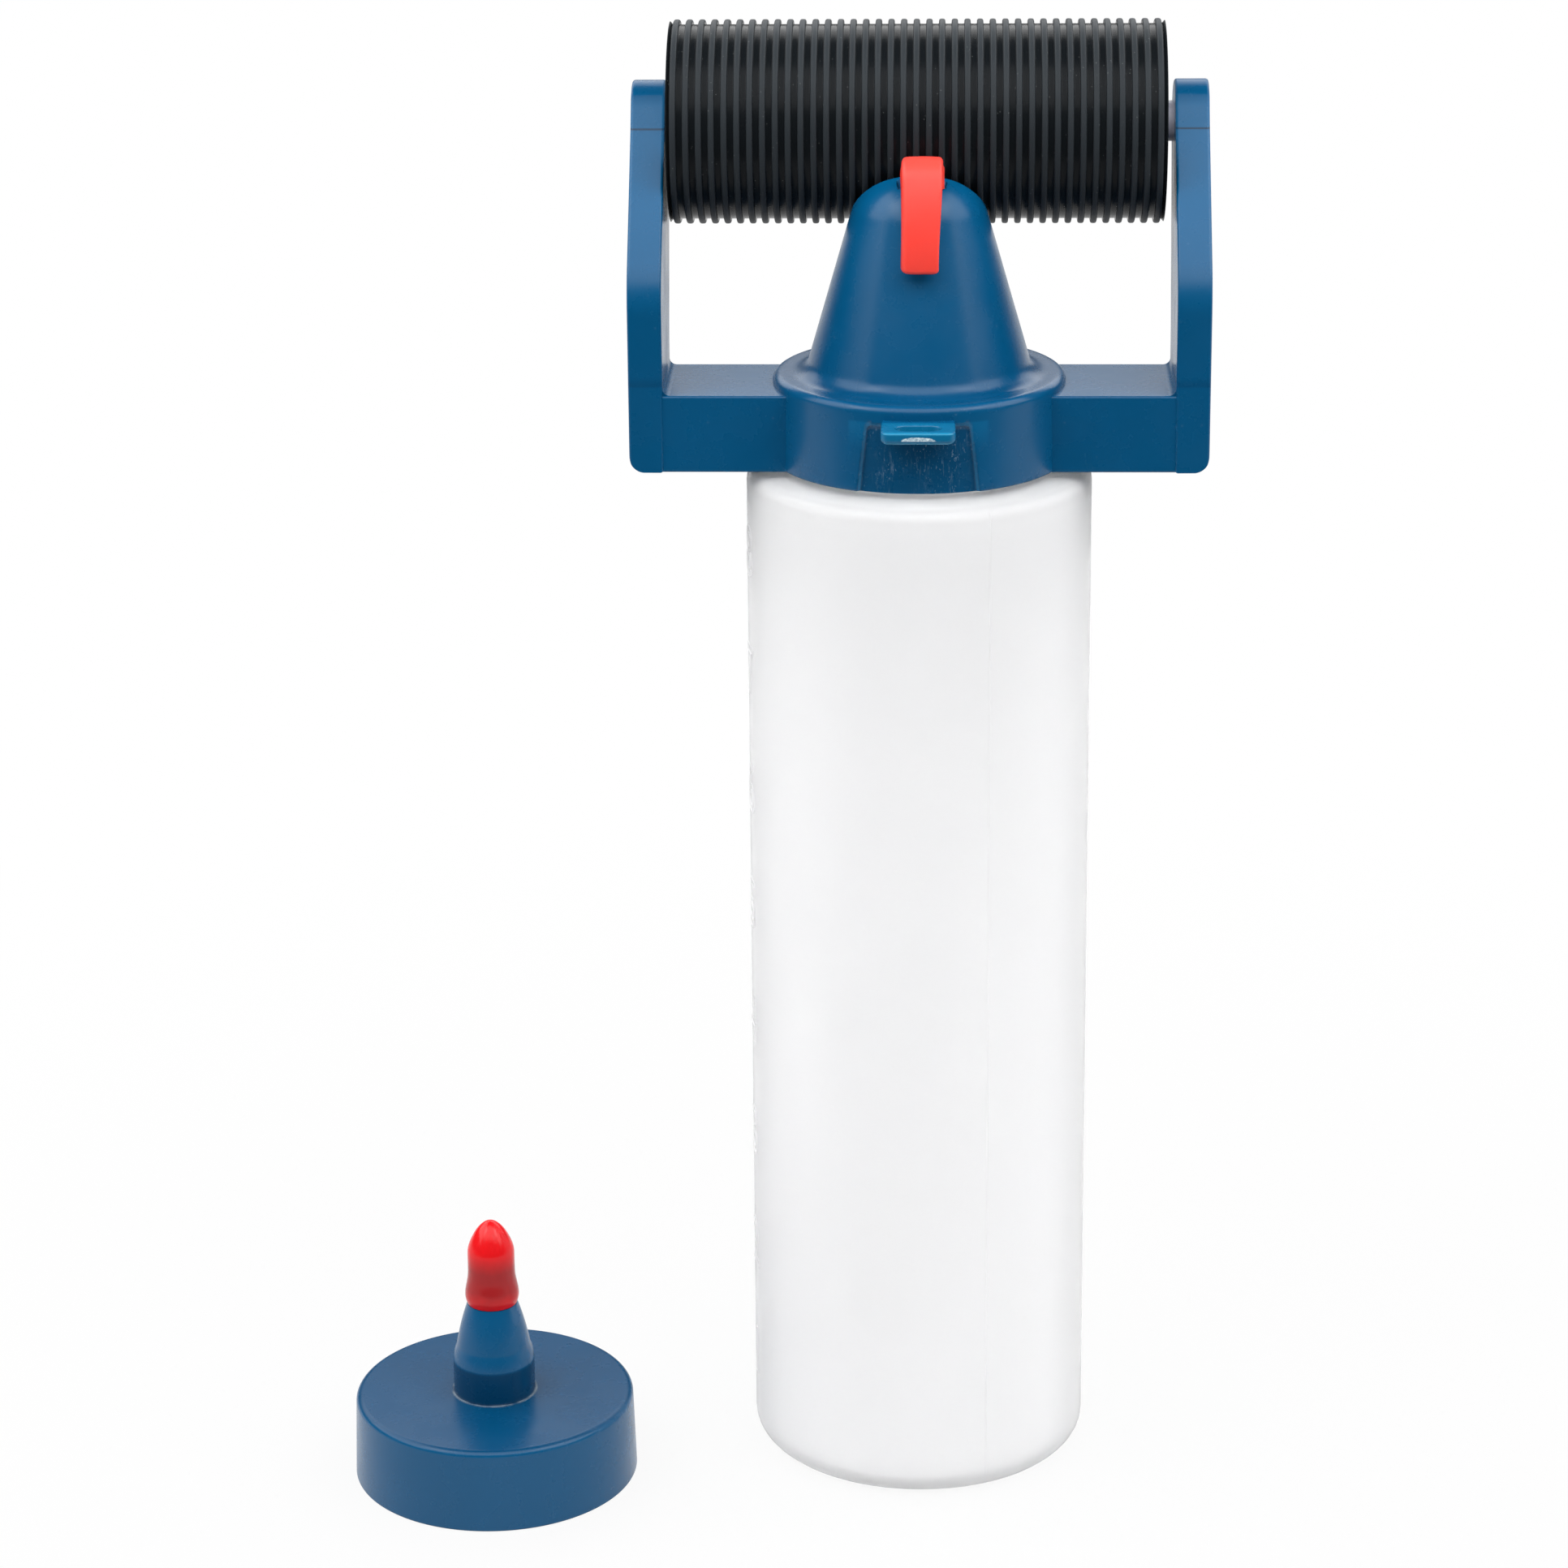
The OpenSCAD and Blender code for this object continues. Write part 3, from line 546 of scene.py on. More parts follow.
def headMarks(tree, skin, colour):
    # Painted light and shade on the tops, the flange, the recess, the tab and the crease; scuffs are streaks and
    # flecks in patches; the scar of the tab's broken gate is a ragged half moon
    m = measuresOf(tree)
    m["half"] = calc(tree, "ABSOLUTE", m["x"])
    shine = ramp(tree, m["z"], *headShine["armTop"], blue["specular"], headShine["specular"])
    feed(tree, skin, Specular_IOR_Level=shine)
    rims = calc(tree, "MAXIMUM", *[ramp(tree, m["z"], *edge) for edge in tabEdges])
    streaks = patchy(tree, 2400.0, 4.0, 0.75, 0.56, 0.74, stretch=(1, 1, 0.12))
    flecks = patchy(tree, 3600.0, 2.0, 0.7, 0.6, 0.7, stretch=(1, 1, 0.5))
    patches = patchy(tree, 330.0, 2.0, 0.5, 0.42, 0.68, stretch=(1, 1, 0.4))
    m["up"] = calc(tree, "MULTIPLY", calc(tree, "SUBTRACT", m["z"], gateScar["z"]), 1 / gateScar["high"])
    over = calc(tree, "MULTIPLY", m["x"], 1 / gateScar["half"])
    torn = calc(tree, "MULTIPLY", noise(tree, 2200.0, 3.0, 0.7, objectPlace(tree)), gateScar["torn"])
    moon = ramp(tree, calc(tree, "ADD", reachOf(tree, m["up"], over), torn), *gateScar["rim"])
    broken = patchy(tree, 3000.0, 4.0, 0.7, 0.36, 0.6, 0.3, 1.0, stretch=(1, 1, 1.6))
    masks = {"tabRimHighlights": [rims], "scuffs": [calc(tree, "MAXIMUM", streaks, flecks), patches], "scar": [moon, broken]}
    for name, mark in headTones.items():
        colour = wash(tree, colour, m, mark, *masks.get(name, ()))
    return colour


capTones = {
    # painted shade on the nozzle's foot
    "foot": (0.7, (0.0002, 0.026, 0.075), ("z", 0.0174, 0.017), ("reach", 0.0062, 0.006)),
    # painted shade on the cap's flat top
    "top": (0.5, (0.0002, 0.02, 0.06), ("z", 0.0118, 0.0122, 0.0124, 0.0126)),
    # painted highlight: a thin whitish ring on the fillet at the nozzle's foot
    "ring": (1.0, (0.25, 0.3, 0.34), ("reach", 0.00585, 0.00595, 0.00615, 0.0063), ("z", 0.0127, 0.0125)),
}
capSkin = {"axis": (-0.0614, -0.015), "specular": (0.36, 0.2)}      # the latter on its sides and on its top


def capMarks(tree, skin, colour):
    # Painted shade on the nozzle foot and the flat top, and a thin, broken painted highlight ring where the nozzle
    # stands on it
    m = measuresOf(tree, capSkin["axis"])
    onTop = within(tree, m, capTones["top"][2:])
    feed(tree, skin, Specular_IOR_Level=ramp(tree, onTop, 0.0, 1.0, *capSkin["specular"]))
    colour = wash(tree, colour, m, capTones["foot"])
    colour = wash(tree, colour, m, capTones["top"])
    return wash(tree, colour, m, capTones["ring"], patchy(tree, 420.0, 2.0, 0.5, 0.42, 0.55, 0.05, 0.5))


milky = {
    "low": (0.918, 0.918, 0.922), "high": (0.936, 0.936, 0.94), "roughness": (0.5, 0.6),
    # Painted shade makes the shoulder's rounded edge a little greyer, damping its highlight; painted light makes the
    # shoulder's flat paler under the collar's shadow
    "edge": (1.0, (0.86, 0.86, 0.865), ("z", 0.1445, 0.1467), ("reach", 0.0218, 0.0232)),
    "flat": (1.0, (0.96, 0.96, 0.96), ("z", 0.147, 0.1474), ("reach", 0.0232, 0.0218)),
}


def makeBottlePlastic():
    # Slow upright streaks of two near whites
    material, tree, skin = newMaterial(
        "milkyPlastic", IOR=1.15, Transmission_Weight=0.6, Subsurface_Weight=0.4, Subsurface_Scale=0.006)
    skin.inputs["Subsurface Radius"].default_value = (1.0, 1.0, 1.0)
    flow = noise(tree, 90.0, 3.0, 0.5, objectPlace(tree, (1, 1, 0.12)))
    colour = mixColour(tree, ramp(tree, flow, 0.3, 0.7), milky["low"], milky["high"])
    colour = useGroup(tree, toneGroup, Colour=colour, Amount=0.008, Scale=30.0)
    m = measuresOf(tree)
    # painted shade on the shoulder's edge and painted light on its flat
    colour = wash(tree, wash(tree, colour, m, milky["edge"]), m, milky["flat"])
    feed(tree, skin, Base_Color=colour, Roughness=ramp(tree, flow, 0.3, 0.7, *milky["roughness"]))
    grained(tree, skin, 1500.0, 3.0, 0.12, 0.00003)
    return material


rubber = {
    # The grooves' darker colour is painted shade; the ribs keep the lighter one
    "axis": (0.011, 0.1936), "groove": (0.0088, 0.0112, 0.0134), "rib": (0.0222, 0.0275, 0.0322),
    "tone": (0.01372, 0.01396), "sheen": (0.0136, 0.0139),        # both from a groove's reach to a rib's
    "dust": (0.2, 0.21, 0.21),
    "roughness": (0.24, 0.5), "specular": (0.07, 0.13),
}


def makeRubber():
    # Painted shade makes the grooves darker than the ribs; the grooves are also smoother
    material, tree, skin = newMaterial("blackRubber", IOR=1.5)
    y, z = objectParts(tree)[1:]
    reach = reachOf(tree, calc(tree, "SUBTRACT", y, rubber["axis"][0]), calc(tree, "SUBTRACT", z, rubber["axis"][1]))
    # painted shade in the grooves
    colour = mixColour(tree, ramp(tree, reach, *rubber["tone"]), rubber["groove"], rubber["rib"])
    colour = useGroup(tree, toneGroup, Colour=colour, Amount=0.22, Scale=140.0)
    colour = mixColour(tree, useGroup(tree, speckGroup, Scale=1500.0, Amount=0.4), colour, rubber["dust"])
    uneven = patchy(tree, 240.0, 4.0, 0.6, 0.3, 0.7, -0.05, 0.05)
    rough = calc(tree, "ADD", uneven, ramp(tree, reach, *rubber["sheen"], *rubber["roughness"]))
    shine = ramp(tree, reach, *rubber["sheen"], *rubber["specular"])
    feed(tree, skin, Base_Color=colour, Roughness=rough, Specular_IOR_Level=shine)
    grained(tree, skin, 3200.0, 0.5, 0.3, 0.00004)
    return material


# painted shade on the strap's side that faces left
strapLeftShade = (0.6, (0.55, 0.012, 0.009), ("x", -0.00218, -0.00232))
tipDepth = {"tone": (0.33, 0.012, 0.014), "wave": 0.0012, "lowZ": (0.0268, 0.0292), "highZ": (0.0322, 0.0348)}


def strapMarks(tree, colour):
    # Painted shade: the side that faces left is a deeper red
    return wash(tree, colour, {"x": objectParts(tree)[0]}, strapLeftShade)


def tipMarks(tree, colour):
    # Bright where it is solid; deeper where the spigot shows through, between two uneven heights
    d = tipDepth
    wave = calc(tree, "MULTIPLY", noise(tree, 300.0, 2.0, 0.5, objectPlace(tree)), d["wave"])
    height = calc(tree, "ADD", objectParts(tree)[2], wave)
    inner = mixColour(tree, ramp(tree, height, *d["lowZ"]), colour, d["tone"])
    return mixColour(tree, ramp(tree, height, *d["highZ"]), inner, colour)


def redRubber(name, marks, colour, specular, roughness):
    material, tree, skin = newMaterial(
        name, IOR=1.46, Subsurface_Weight=0.2, Subsurface_Scale=0.0015, Specular_IOR_Level=specular)
    skin.inputs["Subsurface Radius"].default_value = (1.0, 0.25, 0.15)
    colour = useGroup(tree, toneGroup, Colour=marks(tree, colour), Amount=0.07, Scale=160.0)
    feed(tree, skin, Base_Color=colour, Roughness=patchy(tree, 300.0, 3.0, 0.6, 0.3, 0.7, *roughness))
    grained(tree, skin, 2400.0, 1.0, 0.25, 0.00004)
    return material


def plainPlastic(name, colour, roughness, grain=0.2):
    material, tree, skin = newMaterial(name, IOR=1.49)
    colour = useGroup(tree, toneGroup, Colour=colour, Amount=0.05, Scale=180.0)
    rough = patchy(tree, 350.0, 3.0, 0.6, 0.3, 0.7, roughness - 0.06, roughness + 0.06)
    feed(tree, skin, Base_Color=colour, Roughness=rough)
    grained(tree, skin, 2500.0, 0.5, grain, 0.00004)
    return material


headBlue = bluePlastic("headBlue", headMarks, 0.12, 0.06)
capBlue = bluePlastic("capBlue", capMarks, 0.015, 0.03)
milkyPlastic, blackRubber = makeBottlePlastic(), makeRubber()
strapRed = redRubber("strapRed", strapMarks, (0.93, 0.055, 0.038), 0.5, (0.4, 0.52))
tipRed = redRubber("tipRed", tipMarks, (0.68, 0.008, 0.011), 0.3, (0.14, 0.2))
axleGrey = plainPlastic("axleGrey", (0.6, 0.58, 0.66), 0.3)
bushCream = plainPlastic("bushCream", (0.68, 0.68, 0.65), 0.4)
coreBlack = plainPlastic("coreBlack", (0.035, 0.035, 0.037), 0.45)
linerFoam = plainPlastic("linerWhite", (0.82, 0.82, 0.79), 0.8, grain=0.8)
print("finishes ready")


# The bottle

bottle = {
    "radius": 24.0, "wall": 0.9, "base": 3.4, "groove": 0.5, "shoulder": 148.0, "fall": 0.6, "edge": 2.0,
    "neck": 17.55, "bore": 16.2, "top": 158.1, "sole": (12.0, 12.4),    # the two edges of the groove under it
    "seamAt": -66.0, "seamHeight": 0.08, "seamWidth": 0.09, "seamSpan": 0.9,
    "thread": {"z": 150.3, "pitch": 4.23, "turns": 1.25, "height": 1.1, "foot": 2.3, "crest": 0.9,
               "fade": 24, "soft": 0.12, "sunk": 0.3},    # degrees of its run-out, rounding, depth in the wall
}


def threadRidge(name, radius, start, z, grow):
    # A trapezoid carried round a helix: angle a, height z + pitch a / 360; it runs out at both ends
    t = bottle["thread"]
    sweep = 360 * t["turns"]
    turn = np.linspace(0, sweep, 181)
    share = np.clip(np.minimum(turn, sweep - turn) / t["fade"] + 0.02, 0, 1)
    crest = t["foot"] + (t["crest"] - t["foot"]) * share
    out = radius + grow * t["height"] * share
    soft = radius + grow * (t["height"] - t["soft"]) * share
    sunk, foot = np.full_like(turn, radius - grow * t["sunk"]), np.full_like(turn, t["foot"] / 2)
    side, edge = crest / 2 + t["soft"] / 2, crest / 2 - t["soft"]
    r = np.stack([sunk, soft, out, out, soft, sunk], axis=1)
    h = np.stack([-foot, -side, -edge, edge, side, foot], axis=1)
    a = np.radians(start + turn)[:, None]
    grid = np.stack([r * np.cos(a), r * np.sin(a), h + z + t["pitch"] * turn[:, None] / 360], axis=-1)
    return gridObject(name, grid, closeU=False, closeV=True, caps=True, sharpAt=50)


def bottleSection():
    # Corners (radius, height, rounding): out under the base, up the wall to the rim, and down the inside
    b = bottle
    inner, high = b["radius"] - b["wall"], b["shoulder"] - b["wall"]
    return spacedLine(roundedLine([
        (0, b["groove"], 0), (b["sole"][0], b["groove"], 0.2), (b["sole"][1], 0, 0.3), (b["radius"], 0, b["base"]),
        (b["radius"], b["shoulder"] - b["fall"], b["edge"]), (b["neck"], b["shoulder"], 0.6),
        (b["neck"], b["top"], 0.4),
        (b["bore"], b["top"], 0.4), (b["bore"], high, 0.5), (inner, high - b["fall"], b["edge"] - b["wall"]),
        (inner, b["wall"] + b["groove"], b["base"] - b["wall"]), (0, b["wall"] + b["groove"], 0),
    ], steps=8), 5.0)


def bottleBody():
    # The turned body; at both parting lines its outside stands proud by h exp(-(s / w)^2), s being the way round
    b = bottle
    seams = np.radians([b["seamAt"], b["seamAt"] + 180])
    near = np.radians(np.linspace(-b["seamSpan"], b["seamSpan"], 13))
    angles = np.unique(np.concatenate([evenAngles(180), *[(s + near) % (2 * math.pi) for s in seams]]))
    grid = turned(bottleSection(), angles)
    radius = np.hypot(grid[..., 0], grid[..., 1])
    gap = np.min([np.abs((angles - s + math.pi) % (2 * math.pi) - math.pi) for s in seams], axis=0)[:, None] * radius
    side = (radius > b["radius"] - b["wall"] / 2) & (grid[..., 2] > b["base"]) & (grid[..., 2] < b["shoulder"] - 1)
    proud = np.where(side, b["seamHeight"] * np.exp(-(gap / b["seamWidth"]) ** 2), 0)
    grid[..., :2] *= ((radius + proud) / np.maximum(radius, 1e-9))[..., None]
    return gridObject("bottleBody", grid)


graduation = {"count": 8, "first": 13.36, "step": 17.49, "at": -169.0, "tall": 7.2, "font": 0.7, "wire": 0.16,
              "narrow": 0.92, "flat": 0.9}


def graduationNumbers():
    # Outlined digits as thin raised wires: flat (x, y, z) goes to angle x / R, height y and radius R + z on the wall
    things = []
    g, radius = graduation, bottle["radius"]
    for k in range(g["count"]):
        curve = bpy.data.curves.new("digit", "FONT")
        curve.body, curve.size = str(k + 1), g["tall"] / g["font"] * mm
        curve.align_x, curve.align_y, curve.fill_mode = "CENTER", "CENTER", "NONE"
        curve.bevel_depth, curve.bevel_resolution, curve.resolution_u = g["wire"] * mm, 2, 6
        shape = toScene("digit", curve)
        bpy.context.view_layer.update()
        mesh = bpy.data.meshes.new_from_object(shape.evaluated_get(bpy.context.evaluated_depsgraph_get()))
        flat = np.empty(len(mesh.vertices) * 3)
        mesh.vertices.foreach_get("co", flat)
        flat = flat.reshape(-1, 3) / mm
        a = math.radians(g["at"]) + flat[:, 0] * g["narrow"] / radius
        r = radius + flat[:, 2] * g["flat"]
        wrapped = np.stack([r * np.cos(a), r * np.sin(a), g["first"] + g["step"] * k + flat[:, 1]], axis=1) * mm
        mesh.vertices.foreach_set("co", wrapped.ravel())
        mesh.update()
        bpy.data.objects.remove(shape)
        things.append(finishedMesh("digit%d" % k, mesh))
    return joined("graduationNumbers", things)


asBottle = ("bottle", "bottle_plastic", milkyPlastic)       # body, slot and finish
dress(bottleBody(), *asBottle, "bottle")
dress(threadRidge("neckThread", bottle["neck"], 0.0, bottle["thread"]["z"], 1), *asBottle)
dress(graduationNumbers(), *asBottle)
print("bottle ready")


# The roller head

head = {
    "low": 148.7, "flange": 160.9, "roof": 159.3, "bore": 19.0, "collar": (20.4, 20.2), "flangeRound": 1.1,
    "spout": 15.75, "slope": 16.0, "spoutHeight": 28.0, "dome": 7.4, "fillet": 2.5,
    "barTop": 159.5, "barDepth": 18.0, "barWall": 1.8, "armAt": 35.05, "armWidth": 4.7, "armDepth": 18.5,
    "lean": 36.4, "bend": 12.0, "boss": 5.8, "bossEnd": 132, "axle": (11.0, 193.6), "corner": 2.2, "edge": 0.4,
    "recess": {"foot": 8.2, "top": 7.1, "ceiling": 158.2, "depth": 0.75, "soft": 0.2, "corner": 0.8},
    "crease": (6.09, 0.174),         # from the axle to the crease between the arm's round end and its front
    "back": 0.34, "backSoft": 12,    # how far up the arm its back is straight, and the bend above it
    "saddle": 14.6, "saddleSoft": 0.35, "notchSlope": 7, "notchSoft": 0.12,
    "notch": (3.25, 1.3, 187.55),                                        # the strap's seat: half sizes and height
    "outlet": (0.4, -5.0, 1.5), "outletDepth": 4.5, "outletSoft": 0.2,   # x, y and radius
    "cutFrom": 0.5, "sunkFrom": 0.6,     # cuts start this far above the flange, the recess this far out of the bore
    "barFrom": 17.2, "webAt": 26.9, "webThick": 1.8, "barFillet": 1.0,
}
tab = {"half": 5.0, "reach": 26.5, "top": 159.0, "thick": 1.7, "slot": (3.05, 1.4), "slotAt": -23.65, "root": 19.3,
       "corner": 1.2, "edge": 0.3, "under": 0.75}


def headSection():
    # From the bore's roof out under the collar, up its wall, over the flange, and up the spout to its dome;
    # a corner is (radius, height, rounding)
    h = head
    slope = math.radians(h["slope"])
    domeZ = h["flange"] + h["spoutHeight"] - h["dome"]
    domeX = h["spout"] - math.tan(slope) * (h["spoutHeight"] - h["dome"]) - h["dome"] / math.cos(slope)
    foot = h["spout"] + h["fillet"] * math.tan(math.radians(45) - slope / 2)
    lower = roundedLine([
        (0, h["roof"], 0), (h["bore"], h["roof"], 0.3), (h["bore"], h["low"], 0.25), (h["collar"][0], h["low"], 0.35),
        (h["collar"][1], h["flange"], h["flangeRound"]), (foot, h["flange"], 0),
    ], steps=7)
    fillet = arcLine((foot, h["flange"] + h["fillet"]), h["fillet"], 270, 180 + h["slope"], 10)
    dome = arcLine((domeX, domeZ), h["dome"], h["slope"], 90, 44)
    crown = np.array([[domeX, domeZ + h["dome"]], [0, domeZ + h["dome"]]])
    wall = spacedLine(np.concatenate([lower, fillet[1:], dome[:1]]), 0.42)
    return np.concatenate([wall, dome[1:], spacedLine(crown, 0.2)[1:]])


def headBody():
    # The turned body. The recess draws its wall in; the roller's saddle, the strap's seat and the outlet lower it.
    h, r = head, head["recess"]
    front = np.radians(np.arange(-115, -65, 0.5))
    angles = np.unique(np.round(np.concatenate([evenAngles(240), front % (2 * math.pi)]), 6))
    grid = turned(headSection(), angles)
    x, y, z = (grid[..., i].copy() for i in range(3))
    radius = np.hypot(x, y)
    half = r["foot"] + (r["top"] - r["foot"]) * (z - h["low"]) / (r["ceiling"] - h["low"])
    edge = -softMin(half - np.abs(x), r["ceiling"] - z, r["corner"])
    wall = (radius > h["bore"] + h["sunkFrom"]) & (y < 0) & (z < r["ceiling"] + 1)
    sunk = np.where(wall, smoothStep(0.5 - edge / (2 * r["soft"])), 0)
    drawn = radius + (np.minimum(radius, h["collar"][0] - r["depth"]) - radius) * sunk
    scale = drawn / np.maximum(radius, 1e-9)
    x, y = x * scale, y * scale
    across = np.abs(y - h["axle"][0])
    reach = np.sqrt(np.maximum(h["saddle"] ** 2 - across ** 2, 0))
    saddle = np.where(across < h["saddle"], h["axle"][1] - reach, 1e3)
    outside = z > h["flange"] + h["cutFrom"]
    top = np.where(outside, softMin(z, saddle, h["saddleSoft"]), z)
    wide, deep, seat = h["notch"]
    ox, oy, hole = h["outlet"]
    fromSeat = np.maximum(np.maximum(np.abs(x - ox) - wide, np.abs(y - oy) - deep), 0)
    cut = seat + h["notchSlope"] * fromSeat
    top = np.where(outside & (z > seat - 3), softMin(top, cut, h["notchSoft"]), top)
    fromHole = np.hypot(x - ox, y - oy) - hole
    sink = seat - h["outletDepth"] * smoothStep(0.5 - fromHole / h["outletSoft"])
    top = np.where(outside & (fromHole < h["outletSoft"] / 2), np.minimum(top, sink), top)
    return gridObject("headBody", np.stack([x, y, top], axis=-1), sharpAt=42)


def armOutline():
    # Side view (y, z), counterclockwise: foot, back, round end, leaning front and its bend
    h = head
    front, (ay, az) = -h["armDepth"] / 2, h["axle"]
    crease = np.array([ay - h["crease"][0], az + h["crease"][1]])
    bendZ = crease[1] - (crease[0] - front) / math.tan(math.radians(h["lean"]))
    reach = h["bend"] * math.tan(math.radians(h["lean"] / 2))
    backZ = h["low"] + h["back"] * (az - h["low"])
    lean = math.degrees(math.atan2(ay + h["boss"] + front, az - backZ))
    bend = arcLine((front + h["bend"], bendZ - reach), h["bend"], 180 - h["lean"], 180, 14)
    boss = arcLine((ay, az), h["boss"], -lean, h["bossEnd"], 30)
    back = np.array([[-front, h["low"]], [-front, backZ - 2.2]])
    soft = roundedLine([(-front, backZ - 4, 0), (-front, backZ, h["backSoft"]), (*boss[0], 0)], steps=8)
    foot = spacedLine(np.array([bend[-1], [front, h["low"]]]), 0.6)
    return np.concatenate([spacedLine(back, 0.6), soft[1:-1], boss, crease[None], bend, foot[1:]])


def arm(side):
    # The outline pushed along x with rounded rims; its foot rises over the rounded lower outer corner
    h = head
    outline = spacedLine(np.concatenate([armOutline(), armOutline()[:1]]), 1.0)[:-1]
    depth, inset = edgeLayers(0, h["armWidth"], h["edge"])
    more = np.linspace(h["armWidth"] - h["corner"], h["armWidth"] - h["edge"], 9)[1:-1]
    depth, inset = np.append(depth, more), np.append(inset, 0 * more)
    order = np.argsort(depth, kind="stable")
    layers = []
    for d, i in zip(depth[order], inset[order]):
        ring = drawnIn(outline, i)
        past = max(0.0, d - (h["armWidth"] - h["corner"]))
        lowest = h["low"] + h["corner"] - math.sqrt(max(h["corner"] ** 2 - past ** 2, 0)) + i
        ring[:, 1] = np.maximum(ring[:, 1], lowest)
        layers.append(acrossX(side * (h["armAt"] + d), ring))
    return pushed("arm", layers)


def bar(side):
    # A channel, open below, with rounded edges, pushed along x from the collar to the arm
    h = head
    y, t, w = h["barDepth"] / 2, h["barTop"], h["barWall"]
    outline = roundedLine([
        (-y, h["low"], 0.3), (-y + w, h["low"], 0.2), (-y + w, t - w, 0.5), (y - w, t - w, 0.5),
        (y - w, h["low"], 0.2), (y, h["low"], 0.3), (y, t, 0.35), (-y, t, 0.35),
    ], closed=True, steps=5)
    return pushed("bar", [acrossX(x, outline) for x in np.linspace(h["barFrom"], h["armAt"] + 0.3, 14) * side])


def barWeb(side):
    # A web across the channel
    h = head
    y, low, top = h["barDepth"] / 2 - 0.6, h["low"] + 0.1, h["barTop"] - 0.6
    outline = roundedLine([(-y, low, 0.2), (y, low, 0.2), (y, top, 0.2), (-y, top, 0.2)], closed=True, steps=3)
    depth, inset = edgeLayers(h["webAt"], h["webAt"] + h["webThick"], 0.2, 2)
    return pushed("web", [acrossX(side * d, drawnIn(outline, i)) for d, i in zip(depth, inset)])


def barFillet(side):
    # A concave quarter circle between the bar's top and the arm
    h, r = head, head["barFillet"]
    x, z, y = h["armAt"], h["barTop"], h["barDepth"] / 2 - 0.3
    curve = arcLine((x - r, z + r), r, 270, 360, 6)
    outline = np.concatenate([curve, [[x + 0.3, z + r], [x + 0.3, z - 0.3], [x - r, z - 0.3]]])
    return pushed("fillet", [
        np.column_stack([side * outline[:, 0], np.full(len(outline), v), outline[:, 1]]) for v in (-y, y)])


def slottedTab():
    # A ring-shaped plate: its section is carried round between the slot's outline and the tab's own
    t = tab
    slotX, slotR = t["slot"]
    straight, slotY = slotX - slotR, t["slotAt"]
    slot = np.concatenate([
        arcLine((straight, slotY), slotR, -90, 90, 24), arcLine((-straight, slotY), slotR, 90, 270, 24)])
    outer = roundedLine([
        (t["half"], -t["reach"], t["corner"]), (t["half"], -t["root"], 0), (-t["half"], -t["root"], 0),
        (-t["half"], -t["reach"], t["corner"]),
    ], closed=True, steps=10)
    outer = spacedLine(np.concatenate([outer, outer[:1]]), 0.35)[:-1]
    spaced = np.linspace(-math.pi, math.pi, 161)[:-1]

    def byAngle(points):
        # The outline's points at even angles round the slot's middle
        angles = np.arctan2(points[:, 1] - slotY, points[:, 0])
        order = np.argsort(angles)
        return np.column_stack([
            np.interp(spaced, angles[order], points[order, k], period=2 * math.pi) for k in (0, 1)])

    slot, outer = byAngle(slot), byAngle(outer)
    turn = np.linspace(0, math.pi / 2, 7)
    top, low, edge, under = t["top"], t["top"] - t["thick"], t["edge"], t["under"]
    layers = []
    # Quarter circles: outline, inset, height of the face, way from the face into the plate, turns in their order
    for line, inset, face, way, turns in (
            (outer, edge, top, -1, turn[::-1]), (outer, under, low, 1, turn),
            (slot, -edge, low, 1, turn[::-1]), (slot, -edge, top, -1, turn)):
        for a in turns:
            height = face + way * abs(inset) * (1 - math.sin(a))
            layers.append(np.column_stack([drawnIn(line, inset * (1 - math.cos(a))), np.full(len(line), height)]))
    return gridObject("tab", np.array(layers), closeU=True, closeV=True)


seal = {"inner": 15.05, "outer": 18.65, "thick": 1.0, "rim": 0.15}


def sealRing(name, low, centre=(0, 0)):
    # A flat ring with rounded edges, turned about z
    s = seal
    line = roundedLine([(r, z, s["rim"]) for r, z in (
        (s["inner"], low), (s["outer"], low), (s["outer"], low + s["thick"]), (s["inner"], low + s["thick"]))],
        closed=True, steps=3)
    return gridObject(name, turned(line, evenAngles(120), centre), closeV=True)


asHead = ("head", "blue_plastic", headBlue)
dress(headBody(), *asHead, "roller_head")
for side, label in ((-1, "left"), (1, "right")):
    yoke = joined(label + "Yoke", [arm(side), bar(side), barWeb(side), barFillet(side)])
    dress(yoke, *asHead, "roller_head", weighted=True)
dress(slottedTab(), *asHead, "roller_head", weighted=True)
dress(threadRidge("headThread", head["bore"], 180.0, bottle["thread"]["z"], -1), *asHead)
dress(sealRing("headSeal", 158.2), "liner", "liner_foam", linerFoam, "head_liner")
print("roller head ready")


# The roller and its axle

roller = {
    "left": -34.5, "length": 68.2, "radius": 14.09, "groove": 13.4, "bore": 10.5,
    "ribs": 39, "pitch": 1.744, "rib": 0.88, "crestPower": 3.0, "fillet": (0.04, 0.02, 0.1), "endEdge": 0.25,
    "core": (10.47, 8.67), "bush": (8.64, 2.85, 9.0),             # outer and inner radius, and the bush's length
    "lip": (9.57, 0.8), "lipGap": 0.03, "axle": (2.8, 38.1),      # radius, and thickness or half length
    "centre": (11.0, 193.6),
}
rollerLow, rollerHigh = roller["left"], roller["left"] + roller["length"]


